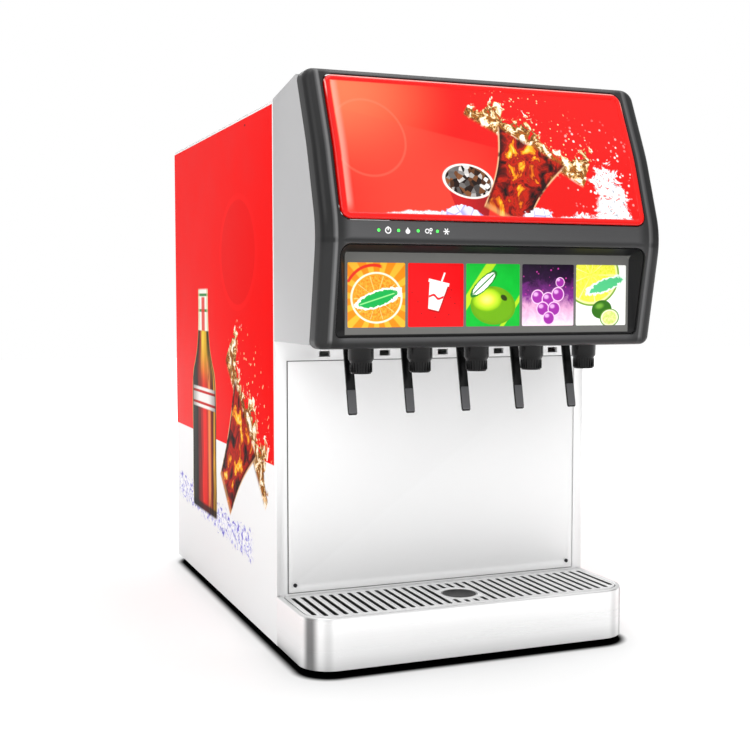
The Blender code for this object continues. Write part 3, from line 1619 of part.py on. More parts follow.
def make_condenser():
    core = block(
        "condenser",
        (CONDENSER_LEFT, CONDENSER_FRONT, PAN_FLOOR + TOUCH),
        (CONDENSER_RIGHT, CONDENSER_BACK, CONDENSER_TOP),
        ALUMINIUM,
    )
    grooves = []
    count = round((CONDENSER_RIGHT - CONDENSER_LEFT) / GROOVE_PITCH) - 1
    half = GROOVE_WIDTH / 2
    for index in range(count):
        x = FAN_X + centred(count, GROOVE_PITCH, index)
        low = (x - half, CONDENSER_FRONT + GROOVE_BORDER, PAN_FLOOR + GROOVE_BORDER)
        high = (x + half, CONDENSER_BACK + GROOVE_BORDER, CONDENSER_TOP - GROOVE_BORDER)
        grooves.append((low, high))
    cut(core, blocks("condenser_grooves", grooves))


def make_fan():
    shroud = block(
        "fan_shroud",
        (CONDENSER_LEFT, SHROUD_FRONT, PAN_FLOOR + TOUCH),
        (CONDENSER_RIGHT, SHROUD_BACK, CONDENSER_TOP),
        BLACK_PLASTIC,
    )
    throat = rod(
        "fan_throat",
        FAN_RADIUS + FAN_TIP_CLEARANCE,
        (FAN_X, SHROUD_FRONT - SKIN, FAN_HEIGHT),
        SHROUD_THICKNESS + 2 * SKIN,
        "Y",
        sides=32,
    )
    cut(shroud, throat)
    hub = rod(
        "condenser_fan",
        FAN_HUB_RADIUS,
        (FAN_X, FAN_Y - FAN_HUB_DEPTH / 2, FAN_HEIGHT),
        FAN_HUB_DEPTH,
        "Y",
        ALUMINIUM,
        sides=20,
    )
    centre = (FAN_X, FAN_Y, FAN_HEIGHT)
    add_blades(hub, centre, 5, FAN_RADIUS, FAN_CHORD, FAN_PITCH, "Y")
    motor_back = SHROUD_FRONT - MOTOR_GAP
    motor = rod(
        "fan_motor",
        FAN_MOTOR_RADIUS,
        (FAN_X, motor_back - FAN_MOTOR_LENGTH, FAN_HEIGHT),
        FAN_MOTOR_LENGTH,
        "Y",
        BLACK_ENAMEL,
        sides=20,
    )
    arm = block(
        "motor_arm",
        (CONDENSER_LEFT + MOTOR_ARM_INSET, motor_back - 3 * MOTOR_GAP, FAN_HEIGHT - MOTOR_ARM_TALL / 2),
        (CONDENSER_RIGHT - MOTOR_ARM_INSET, SHROUD_FRONT - TOUCH, FAN_HEIGHT + MOTOR_ARM_TALL / 2),
    )
    join(motor, arm)


def make_pump():
    """The booster pump and its motor, lying along the left of the deck."""
    x = -HALF + PUMP_SIDE_MARGIN
    front = TANK_BACK + PUMP_BEHIND_TANK
    back = front + PUMP_LENGTH
    centre = PAN_FLOOR + TOUCH + PUMP_RISE
    motor = rod("water_pump", PUMP_RADIUS, (x, front, centre), PUMP_LENGTH, "Y", BLACK_ENAMEL)
    head = rod("pump_head", PUMP_HEAD_RADIUS, (x, back - SKIN, centre), PUMP_HEAD_LENGTH, "Y")
    half = PUMP_FOOT_LENGTH / 2
    foot = block(
        "pump_foot",
        (x - PUMP_HEAD_RADIUS, (front + back) / 2 - half, PAN_FLOOR + TOUCH),
        (x + PUMP_HEAD_RADIUS, (front + back) / 2 + half, centre - PUMP_HEAD_RADIUS),
    )
    port_y = back + PUMP_HEAD_LENGTH / 2
    port = rod("pump_port", PIPE_RADIUS, (x, port_y, centre), 2 * PUMP_HEAD_RADIUS, sides=12)
    join(motor, head, foot, port)


def make_control_box():
    left = -HALF + CONTROL_BOX_SIDE_MARGIN
    bottom = BAY_TOP + CONTROL_BOX_ABOVE_BAY
    box = block(
        "control_box",
        (left, REAR_INNER - CONTROL_BOX_DEPTH, bottom),
        (left + CONTROL_BOX_WIDTH, REAR_INNER - TOUCH, bottom + CONTROL_BOX_TALL),
        GALVANISED,
    )
    glands = []
    for index in range(3):
        x = left + CONTROL_BOX_WIDTH / 2 + centred(3, GLAND_PITCH, index)
        y = REAR_INNER - CONTROL_BOX_DEPTH / 2
        length = 2 * GLAND_RADIUS
        glands.append(
            rod(f"gland_{index + 1}", GLAND_RADIUS, (x, y, bottom - length + SKIN), length, sides=12)
        )
    join(box, *glands)


# ---------------------------------------------------------------- rear connections


def barb_places():
    """Centres of the supply spigots in the bay: four over three."""
    left = BAY_LEFT + BARB_INSET
    upper = [(left + BARB_PITCH * n, BARB_HEIGHT + BARB_ROW_GAP) for n in range(4)]
    lower = [(left + BARB_PITCH * (n + 0.5), BARB_HEIGHT) for n in range(3)]
    return upper + lower


def make_manifold():
    back = BAY_WALL_Y - SKIN - TOUCH
    left = BAY_LEFT + BARB_INSET - MANIFOLD_BORDER
    manifold = block(
        "inlet_manifold",
        (left, back - MANIFOLD_THICKNESS, BARB_HEIGHT - MANIFOLD_BORDER),
        (
            left + 3 * BARB_PITCH + 2 * MANIFOLD_BORDER,
            back,
            BARB_HEIGHT + BARB_ROW_GAP + MANIFOLD_BORDER,
        ),
        BRASS,
    )
    for number, (x, z) in enumerate(barb_places(), 1):
        barb = rod(f"barb_{number}", BARB_RADIUS, (x, back - SKIN, z), BARB_LENGTH, "Y", sides=10)
        join(manifold, barb)


def make_power_inlet():
    """A sunk mains inlet in the bay's wall."""
    flange = block(
        "power_inlet",
        (
            INLET_X - INLET_WIDTH / 2 - INLET_FLANGE,
            BAY_WALL_Y + TOUCH,
            INLET_HEIGHT - INLET_TALL / 2 - FLANGE_THICKNESS * 1.5,
        ),
        (
            INLET_X + INLET_WIDTH / 2 + INLET_FLANGE,
            BAY_WALL_Y + TOUCH + FLANGE_THICKNESS,
            INLET_HEIGHT + INLET_TALL / 2 + FLANGE_THICKNESS * 1.5,
        ),
        BLACK_PLASTIC,
    )
    body = block(
        "inlet_body",
        (INLET_X - INLET_WIDTH / 2, BAY_WALL_Y - INLET_DEPTH, INLET_HEIGHT - INLET_TALL / 2),
        (
            INLET_X + INLET_WIDTH / 2,
            BAY_WALL_Y + TOUCH + FLANGE_THICKNESS / 2,
            INLET_HEIGHT + INLET_TALL / 2,
        ),
    )
    socket = block(
        "inlet_socket",
        (
            INLET_X - INLET_WIDTH / 2 + INLET_WALL,
            BAY_WALL_Y - INLET_DEPTH + 2 * INLET_WALL,
            INLET_HEIGHT - INLET_TALL / 2 + INLET_WALL,
        ),
        (
            INLET_X + INLET_WIDTH / 2 - INLET_WALL,
            BAY_WALL_Y + INLET_DEPTH,
            INLET_HEIGHT + INLET_TALL / 2 - INLET_WALL,
        ),
    )
    join(flange, body)
    cut(flange, socket)


def make_power_switch():
    """A rocker that turns in its frame, stored with its lower end pressed in."""
    radius = SWITCH_RADIUS
    half = SWITCH_WIDTH / 2
    back = BAY_WALL_Y + TOUCH + FLANGE_THICKNESS
    frame = block(
        "switch_frame",
        (INLET_X - half - SWITCH_BEZEL, BAY_WALL_Y + TOUCH, SWITCH_HEIGHT - radius - SWITCH_BEZEL),
        (INLET_X + half + SWITCH_BEZEL, back, SWITCH_HEIGHT + radius + SWITCH_BEZEL),
        BLACK_PLASTIC,
    )
    throat = block(
        "switch_throat",
        (INLET_X - half - SLIP, BAY_WALL_Y - radius, SWITCH_HEIGHT - radius - SEAM),
        (INLET_X + half + SLIP, BAY_WALL_Y + radius, SWITCH_HEIGHT + radius + SEAM),
    )
    cut(frame, throat)
    outline = [(ROCKER_DISH, 0.0), (ROCKER_EDGE, radius * ROCKER_FACE_SHARE)]
    for step in range(9):
        angle = math.radians(76 + step * 208 / 8)
        outline.append((radius * math.cos(angle), radius * math.sin(angle)))
    outline.append((ROCKER_EDGE, -radius * ROCKER_FACE_SHARE))
    rocker = prism("power_switch", [outline], -half, half, "X", BLACK_PLASTIC)
    rocker.data.transform(Matrix.Rotation(math.pi / 2, 4, "Z") @ Matrix.Rotation(math.pi / 2, 4, "X"))
    rocker.rotation_euler = (-SWITCH_TILT, 0.0, 0.0)
    rocker.location = (INLET_X, BAY_WALL_Y - SLIP, SWITCH_HEIGHT)


# ---------------------------------------------------------------- assembly


def build():
    make_base_pan()
    make_side_panel("left_side_panel", -1)
    make_side_panel("right_side_panel", 1)
    make_rear_panel()
    make_top_cover()
    make_feet()
    make_front_frame()
    make_splash_plate()
    make_head_housing()
    make_fascia()
    make_lens()
    make_light_board()
    make_card_tray()
    make_cards()
    make_indicator_board()
    make_valve_rail()
    for index in range(VALVE_COUNT):
        make_valve(index)
        make_nozzle(index)
        make_lever(index)
    make_drip_tray()
    make_drip_grille()
    make_strainer()
    make_drain_pipe()
    make_tank()
    make_coil()
    make_carbonator()
    make_agitator()
    make_compressor()
    make_condenser()
    make_fan()
    make_pump()
    make_control_box()
    make_manifold()
    make_power_inlet()
    make_power_switch()
    bpy.context.view_layer.update()


build()
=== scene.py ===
"""Five-valve countertop fountain drinks dispenser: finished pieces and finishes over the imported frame."""

import json
import math

import bmesh
import bpy
import numpy as np
from bpy.props import FloatProperty, FloatVectorProperty, IntProperty, PointerProperty
from mathutils import Euler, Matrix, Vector

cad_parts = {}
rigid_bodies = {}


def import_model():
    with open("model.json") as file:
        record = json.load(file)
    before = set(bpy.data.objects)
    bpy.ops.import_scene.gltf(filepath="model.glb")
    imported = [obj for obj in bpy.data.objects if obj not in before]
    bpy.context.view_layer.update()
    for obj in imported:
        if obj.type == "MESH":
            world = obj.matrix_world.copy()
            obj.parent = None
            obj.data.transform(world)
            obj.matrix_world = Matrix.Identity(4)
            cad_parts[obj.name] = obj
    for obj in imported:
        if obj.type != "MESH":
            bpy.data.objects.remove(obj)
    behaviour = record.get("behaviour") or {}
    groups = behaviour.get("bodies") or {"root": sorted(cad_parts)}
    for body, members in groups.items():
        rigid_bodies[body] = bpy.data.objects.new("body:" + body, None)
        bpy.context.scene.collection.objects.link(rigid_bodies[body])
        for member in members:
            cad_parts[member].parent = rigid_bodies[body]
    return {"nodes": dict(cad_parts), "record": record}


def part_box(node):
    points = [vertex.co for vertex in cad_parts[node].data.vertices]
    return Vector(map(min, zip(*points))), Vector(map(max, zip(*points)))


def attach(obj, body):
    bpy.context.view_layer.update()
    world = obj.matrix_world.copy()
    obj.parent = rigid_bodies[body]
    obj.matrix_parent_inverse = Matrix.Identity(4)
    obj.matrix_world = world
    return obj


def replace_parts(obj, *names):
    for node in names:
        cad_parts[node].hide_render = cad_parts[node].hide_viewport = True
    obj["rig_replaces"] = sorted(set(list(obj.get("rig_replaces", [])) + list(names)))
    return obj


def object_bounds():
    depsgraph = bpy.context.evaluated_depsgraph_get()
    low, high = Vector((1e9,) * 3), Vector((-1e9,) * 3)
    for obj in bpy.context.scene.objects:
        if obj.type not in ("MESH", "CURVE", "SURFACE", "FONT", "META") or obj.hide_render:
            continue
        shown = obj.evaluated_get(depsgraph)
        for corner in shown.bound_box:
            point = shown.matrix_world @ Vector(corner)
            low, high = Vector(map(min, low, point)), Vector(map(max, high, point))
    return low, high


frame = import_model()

bl_info = {
    "name": "Fountain Drinks Dispenser",
    "version": (1, 0, 0),
    "blender": (4, 5, 0),
    "location": "View3D > Sidebar > Dispenser",
    "description": "Finished pieces and finishes of a five-valve countertop drinks dispenser",
    "category": "Object",
}

CAD_BOX = [list(corner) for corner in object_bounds()]
NODES = frame["nodes"]
RECORD = frame["record"]
SLOT_OF = {entry["node"]: entry["material_slot"] for entry in RECORD["subparts"]}
BODY_OF = {
    node: body for body, nodes in RECORD["behaviour"]["bodies"].items() for node in nodes
}
MM = 0.001
LAMP_X = [-0.150 + 0.0233 * i for i in range(4)]
LAMP_Z = 0.5095
LAMP_PITCH = LAMP_X[1] - LAMP_X[0]
MARK_OFFSET = 0.0110
# rounded oblongs: left, right, bottom, top, upper and lower corner radius
FASCIA_WINDOW = (-0.1937, 0.1937, 0.3918, 0.4950, 0.013, 0.0065)
CARD_WINDOW = (-0.1934, 0.1934, 0.3921, 0.4947, 0.0127, 0.0063)
CARD_FLOOR = (-0.1825, 0.1825, 0.3950, 0.4865, 0.006, 0.006)
LEVER_PIVOT_Y = -0.261
LEVER_PIVOT_DROP = 0.0048
LEVER_LEAN = math.radians(12.3)
UNDER_HEAD_SHADE = 0.55
SEGMENTS_ROUND_NOZZLE = 56
FIN_COUNT = 40
FIN_MARGIN = 0.006
FLOOR_SIZE = 14.0
CAMERA_PLACE = (-0.6297, -1.5842, 0.4360)
CAMERA_TURN = (90 - 3.71, 0.03, -21.425)
CAMERA_LENS, CAMERA_SENSOR = 57.17, 36.0
SOFT_EDGED = (
    "compressor", "control_box", "power_switch", "switch_frame", "power_inlet", "water_pump",
    "ice_bath_tank", "carbonator_tank", "drain_pipe",
)


def low(node):
    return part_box(node)[0]


def high(node):
    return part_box(node)[1]


# ---------------------------------------------------------------- front line

FASCIA_LOW, FASCIA_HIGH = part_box("fascia_bezel")
BEND_Z = FASCIA_LOW.z + 0.1295
KNEE_Z = FASCIA_LOW.z + 0.225
LEAN_BELOW = math.radians(11.2)
LEAN_MIDDLE = math.radians(18.0)
LEAN_ABOVE = math.radians(24.0)


def rounded_corner(before, corner, after, radius, steps=14):
    """Points of the arc that rounds one corner of a line."""
    a = (before - corner).normalized()
    b = (after - corner).normalized()
    half = math.acos(max(-1.0, min(1.0, a.dot(b)))) / 2
    reach = radius / math.tan(half)
    middle = corner + (a + b).normalized() * (radius / math.sin(half))
    start = corner + a * reach - middle
    end = corner + b * reach - middle
    turn = math.atan2(start.x * end.y - start.y * end.x, start.dot(end))
    points = []
    for i in range(steps + 1):
        angle = turn * i / steps
        c, s = math.cos(angle), math.sin(angle)
        points.append(middle + Vector((start.x * c - start.y * s, start.x * s + start.y * c)))
    return points


def make_face_line():
    """The fascia's front line as arrays of height and depth."""
    p0 = Vector((math.tan(LEAN_BELOW) * (BEND_Z - FASCIA_LOW.z), FASCIA_LOW.z))
    p1 = Vector((0.0, BEND_Z))
    p2 = Vector((math.tan(LEAN_MIDDLE) * (KNEE_Z - BEND_Z), KNEE_Z))
    p3 = Vector((p2.x + math.tan(LEAN_ABOVE) * (FASCIA_HIGH.z - KNEE_Z), FASCIA_HIGH.z))
    line = [p0] + rounded_corner(p0, p1, p2, 0.090) + rounded_corner(p1, p2, p3, 0.250) + [p3]
    heights = np.array([p.y for p in line])
    depths = np.array([p.x for p in line])
    return heights, depths - depths.min() + FASCIA_LOW.y


FACE_HEIGHTS, FACE_DEPTHS = make_face_line()


def face_y(z):
    """Depth of the fascia's face at height z, carried on straight past its ends."""
    if z < FACE_HEIGHTS[0]:
        return FACE_DEPTHS[0] + math.tan(LEAN_BELOW) * (FACE_HEIGHTS[0] - z)
    if z > FACE_HEIGHTS[-1]:
        return FACE_DEPTHS[-1] + math.tan(LEAN_ABOVE) * (z - FACE_HEIGHTS[-1])
    return float(np.interp(z, FACE_HEIGHTS, FACE_DEPTHS))


# ---------------------------------------------------------------- mesh helpers


def outline(x0, x1, z0, z1, top, bottom, steps=10):
    """A rounded oblong as (x, z) points, anticlockwise from the lower right corner."""
    corners = (
        (x1 - bottom, z0 + bottom, bottom, -90),
        (x1 - top, z1 - top, top, 0),
        (x0 + top, z1 - top, top, 90),
        (x0 + bottom, z0 + bottom, bottom, 180),
    )
    points = []
    for cx, cz, r, start in corners:
        for i in range(steps + 1):
            a = math.radians(start + 90 * i / steps)
            points.append((cx + r * math.cos(a), cz + r * math.sin(a)))
    return points


def ring(bm, points, y):
    """Vertices on (x, z) points at a depth, or at a depth that y(x, z) gives."""
    depth = y if callable(y) else (lambda x, z: y)
    return [bm.verts.new((x, depth(x, z), z)) for x, z in points]


def loft(bm, rings):
    """Quads between neighbouring rings of vertices."""
    for a, b in zip(rings, rings[1:]):
        for i in range(len(a)):
            j = (i + 1) % len(a)
            bm.faces.new((a[i], a[j], b[j], b[i]))


def cut_at_heights(bm, heights):
    """Cuts every face along level lines, so that a leaning shape can bend there."""
    for z in heights:
        bmesh.ops.bisect_plane(
            bm,
            geom=bm.verts[:] + bm.edges[:] + bm.faces[:],
            plane_co=(0, 0, z),
            plane_no=(0, 0, 1),
        )


def drape(bm, offset=0.0):
    """Moves a flat shape, whose y is its depth behind the face, on to the fascia's face line."""
    heights = np.arange(FASCIA_LOW.z + 0.006, FASCIA_HIGH.z, 0.006)
    cut_at_heights(bm, heights)
    for vert in bm.verts:
        vert.co.y += face_y(vert.co.z) + offset


def fill_between(bm, outer, holes=()):
    """Fills the region inside an outer ring and outside the holes."""
    edges = []
    for loop in [outer, *holes]:
        for i, vert in enumerate(loop):
            other = loop[(i + 1) % len(loop)]
            edges.append(bm.edges.get((vert, other)) or bm.edges.new((vert, other)))
    bmesh.ops.triangle_fill(bm, use_beauty=True, edges=edges)


def capped(bm, rings):
    """A loft with a face over its first and its last ring."""
    loft(bm, rings)
    bm.faces.new(rings[0])
    bm.faces.new(rings[-1])


def lathe(bm, profile, centre, steps):
    """Turns a (radius, z) profile round an upright axis through centre."""
    rings = []
    for r, z in profile:
        turned = []
        for i in range(steps):
            angle = 2 * math.pi * i / steps
            x = centre[0] + r * math.cos(angle)
            y = centre[1] + r * math.sin(angle)
            turned.append(bm.verts.new((x, y, z)))
        rings.append(turned)
    loft(bm, rings)


def finish_piece(name, bm, body, slot, material, nodes=(), smooth=38, wall=0.0, bevel=0.0):
    """Turns a bmesh into a placed, painted piece that rides on its body."""
    bmesh.ops.remove_doubles(bm, verts=bm.verts, dist=2e-6)
    bmesh.ops.recalc_face_normals(bm, faces=bm.faces)
    mesh = bpy.data.meshes.new(name)
    bm.to_mesh(mesh)
    bm.free()
    piece = bpy.data.objects.new(name, mesh)
    bpy.context.scene.collection.objects.link(piece)
    if wall:
        thicken = piece.modifiers.new("Wall", "SOLIDIFY")
        thicken.thickness = wall
        thicken.offset = -1
        thicken.use_even_offset = True
    if bevel:
        round_edges(piece, bevel)
    apply_modifiers(piece)
    piece.data.shade_smooth()
    piece.data.set_sharp_from_angle(angle=math.radians(smooth))
    paint_piece(piece, material)
    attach(piece, body)
    if nodes:
        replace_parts(piece, *nodes)
    return piece


def round_edges(piece, width, segments=2, angle=28, harden=False):
    soft = piece.modifiers.new("Edges", "BEVEL")
    soft.width = width
    soft.segments = segments
    soft.limit_method = "ANGLE"
    soft.angle_limit = math.radians(angle)
    soft.harden_normals = harden


def apply_modifiers(piece):
    """Bakes the modifiers of a piece into its mesh."""
    if not piece.modifiers:
        return
    shown = piece.evaluated_get(bpy.context.evaluated_depsgraph_get())
    mesh = bpy.data.meshes.new_from_object(shown)
    piece.modifiers.clear()
    piece.data = mesh


def paint_piece(piece, material):
    piece.data.materials.clear()
    piece.data.materials.append(material)


def soften(node, material, bevel=0.4 * MM, segments=2):
    """A smooth-edged copy of a CAD node that stands for it."""
    bm = bmesh.new()
    bm.from_mesh(NODES[node].data)
    bmesh.ops.remove_doubles(bm, verts=bm.verts, dist=1e-6)
    bmesh.ops.dissolve_limit(
        bm, angle_limit=math.radians(1.0), verts=bm.verts[:], edges=bm.edges[:]
    )
    mesh = bpy.data.meshes.new(node + "_finished")
    bm.to_mesh(mesh)
    bm.free()
    mesh.shade_smooth()
    piece = bpy.data.objects.new(node + "_finished", mesh)
    bpy.context.scene.collection.objects.link(piece)
    round_edges(piece, bevel, segments, harden=True)
    apply_modifiers(piece)
    paint_piece(piece, material)
    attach(piece, BODY_OF[node])
    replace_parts(piece, node)
    return piece


def dress(node, material):
    """Gives a CAD node that keeps its own shape a finish."""
    paint_piece(NODES[node], material)


# ---------------------------------------------------------------- paint helpers


def shade(code):
    """A linear colour from a six-figure screen colour."""
    parts = [int(code[i : i + 2], 16) / 255 for i in (0, 2, 4)]
    return tuple(c / 12.92 if c <= 0.04045 else ((c + 0.055) / 1.055) ** 2.4 for c in parts)


class Wire:
    """A node socket that takes part in Python arithmetic."""

    def __init__(self, paint, socket):
        self.paint = paint
        self.socket = socket

    def maths(self, operation, *values):
        return self.paint.node(
            "ShaderNodeMath", {"operation": operation}, dict(enumerate(values))
        )

    def __add__(self, other):
        return self.maths("ADD", self, other)

    def __radd__(self, other):
        return self.maths("ADD", other, self)

    def __sub__(self, other):
        return self.maths("SUBTRACT", self, other)

    def __rsub__(self, other):
        return self.maths("SUBTRACT", other, self)

    def __mul__(self, other):
        return self.maths("MULTIPLY", self, other)

    def __rmul__(self, other):
        return self.maths("MULTIPLY", other, self)

    def __truediv__(self, other):
        return self.maths("DIVIDE", self, other)

    def __abs__(self):
        return self.maths("ABSOLUTE", self)

    def least(self, other):
        return self.maths("MINIMUM", self, other)

    def most(self, other):
        return self.maths("MAXIMUM", self, other)

    def step(self, start, end):
        """0 at start, 1 at end, eased between them; start may be above end."""
        return self.paint.node(
            "ShaderNodeMapRange",
            {"interpolation_type": "SMOOTHSTEP"},
            {0: self, 1: start, 2: end, 3: 0.0, 4: 1.0},
        )

    def below(self, edge, soft=0.02):
        return self.step(edge + soft, edge - soft)

    def above(self, edge, soft=0.02):
        return self.step(edge - soft, edge + soft)


class Paint:
    """Builds the node tree of one material."""

    def __init__(self, name, tree=None):
        if tree is None:
            self.material = bpy.data.materials.new(name)
            self.material.use_nodes = True
            tree = self.material.node_tree
        self.tree = tree
        self.tree.nodes.clear()
        self._object = None
        self._axes = None

    def node(self, kind, settings=None, inputs=None, out=0):
        """A node with its settings and inputs; an input given as text is a colour code."""
        made = self.tree.nodes.new(kind)
        for key, value in (settings or {}).items():
            setattr(made, key, value)
        for key, value in (inputs or {}).items():
            socket = made.inputs[key]
            if isinstance(value, str):
                value = shade(value)
            if isinstance(value, Wire):
                self.tree.links.new(value.socket, socket)
            elif socket.type == "RGBA" and len(value) == 3:
                socket.default_value = (*value, 1.0)
            else:
                socket.default_value = value
        return Wire(self, made.outputs[out])

    def position(self):
        if self._object is None:
            self._object = self.node("ShaderNodeTexCoord", out=3)
        return self._object

    def axes(self):
        """x, y and z of the point, as three wires."""
        if self._axes is None:
            first = self.node("ShaderNodeSeparateXYZ", None, {0: self.position()})
            split = first.socket.node
            self._axes = tuple(Wire(self, split.outputs[i]) for i in range(3))
        return self._axes

    def flat(self, across, up):
        """A vector that holds two values as its x and y."""
        return self.node("ShaderNodeCombineXYZ", None, {0: across, 1: up})

    def local(self, vector, centre=(0, 0, 0), angle=0.0, size=(1, 1, 1)):
        """vector as seen from a centre, turned by angle about z and divided by size."""
        return self.node(
            "ShaderNodeMapping",
            {"vector_type": "TEXTURE"},
            {
                "Vector": vector,
                "Location": centre,
                "Rotation": (0, 0, angle),
                "Scale": size,
            },
        )

    def split(self, vector):
        first = self.node("ShaderNodeSeparateXYZ", None, {0: vector})
        return first, Wire(self, first.socket.node.outputs[1])

    def span(self, vector, centre, radii, angle=0.0):
        """Distance from centre, 1 at the edge of an ellipse."""
        inside = self.local(vector, (*centre, 0), angle, (*radii, 1))
        return self.node("ShaderNodeVectorMath", {"operation": "LENGTH"}, {0: inside}, out=1)

    def noise(self, scale, detail=3.0, rough=0.55, vector=None, distortion=0.0):
        return self.node(
            "ShaderNodeTexNoise",
            None,
            {
                "Vector": vector or self.position(),
                "Scale": scale,
                "Detail": detail,
                "Roughness": rough,
                "Distortion": distortion,
            },
        )

    def cells(self, scale, vector=None, feature="F1", randomness=1.0, out=0):
        return self.node(
            "ShaderNodeTexVoronoi",
            {"feature": feature},
            {"Vector": vector or self.position(), "Scale": scale, "Randomness": randomness},
            out=out,
        )

    def ramp(self, value, stops):
        """A colour along a list of (place, colour code) stops."""
        wire = self.node("ShaderNodeValToRGB", None, {0: value})
        band = wire.socket.node.color_ramp
        band.elements[0].position = stops[0][0]
        band.elements[1].position = stops[-1][0]
        for place, _ in stops[1:-1]:
            band.elements.new(place)
        for element, (_, colour) in zip(band.elements, stops):
            element.color = (*shade(colour), 1.0)
        return wire

    def curve(self, value, points):
        """A number read from a drawn curve of (value, result) points, both 0 to 1."""
        wire = self.node("ShaderNodeFloatCurve", None, {1: value})
        mapping = wire.socket.node.mapping
        line = mapping.curves[0]
        for point in points[1:-1]:
            line.points.new(*point)
        line.points[0].location = points[0]
        line.points[-1].location = points[-1]
        mapping.update()
        return wire

    def mix(self, factor, a, b):
        return self.node(
            "ShaderNodeMix",
            {"data_type": "RGBA"},
            {0: factor, 6: a, 7: b},
            out=2,
        )

    def maths_of(self, operation, *values):
        return self.node("ShaderNodeMath", {"operation": operation}, dict(enumerate(values)))

    def bump(self, height, distance, strength=1.0):
        inputs = {"Height": height, "Distance": distance, "Strength": strength}
        return self.node("ShaderNodeBump", None, inputs)

    def surface(self, **inputs):
        """The finished material, with shader inputs named in lower case with underscores."""
        named = {key.replace("_", " ").title().replace("Ior", "IOR"): v for key, v in inputs.items()}
        shader = self.node("ShaderNodeBsdfPrincipled", None, named)
        end = self.tree.nodes.new("ShaderNodeOutputMaterial")
        self.tree.links.new(shader.socket, end.inputs[0])
        return self.material


# ---------------------------------------------------------------- finishes


def plain_metal(name, tint, rough, brush=(6, 6, 900), streak=0.12, metallic=1.0, dirt=0.04, gap_shade_box=None):
    """Brushed or rolled metal whose grain runs along the small factors of brush.

    The box given for the gap is that of a plate set in the metal: painted shade darkens the metal along the
    plate's edges, where the gap between them lies in shadow.
    """
    p = Paint(name)
    grain = p.noise(1.0, 4.0, 0.6, p.local(p.position(), size=[1 / b for b in brush]))
    cloud = p.noise(9.0, 3.0)
    tone = (grain * 0.6 + cloud * 0.4) * dirt * 2 - dirt
    dark = tuple(c * (1 - 2 * dirt) for c in tint)
    colour = p.mix(tone + 0.5, dark, tint)
    if gap_shade_box:
        # painted shadow in the gap round the set-in plate
        x, _, z = p.axes()
        a, b = gap_shade_box
        beyond = (abs(x) - b.x).most((z - b.z).most(a.z - z))
        colour = p.mix(abs(beyond).step(0.0014, 0.0004) * 0.9, colour, "141414")
    roughness = rough - streak / 2 + grain * streak
    return p.surface(
        base_color=colour,
        metallic=metallic,
        roughness=roughness,
        normal=p.bump(grain, 0.00004, 0.35),
    )


def moulded(name, tint, rough, texture=0.00006, scale=900.0, wear=0.10, gloss=0.35):
    """Moulded plastic or paint with a fine skin, slightly uneven in tone and gloss."""
    p = Paint(name)
    grain = p.noise(scale, 2.0, 0.6)
    cloud = p.noise(14.0, 4.0)
    colour = p.mix(cloud * 0.8 + 0.1, tuple(c * (1 - wear) for c in tint), tint)
    return p.surface(
        base_color=colour,
        roughness=rough - 0.05 + cloud * 0.10,
        specular_ior_level=gloss,
        normal=p.bump(grain, texture, 0.5),
    )


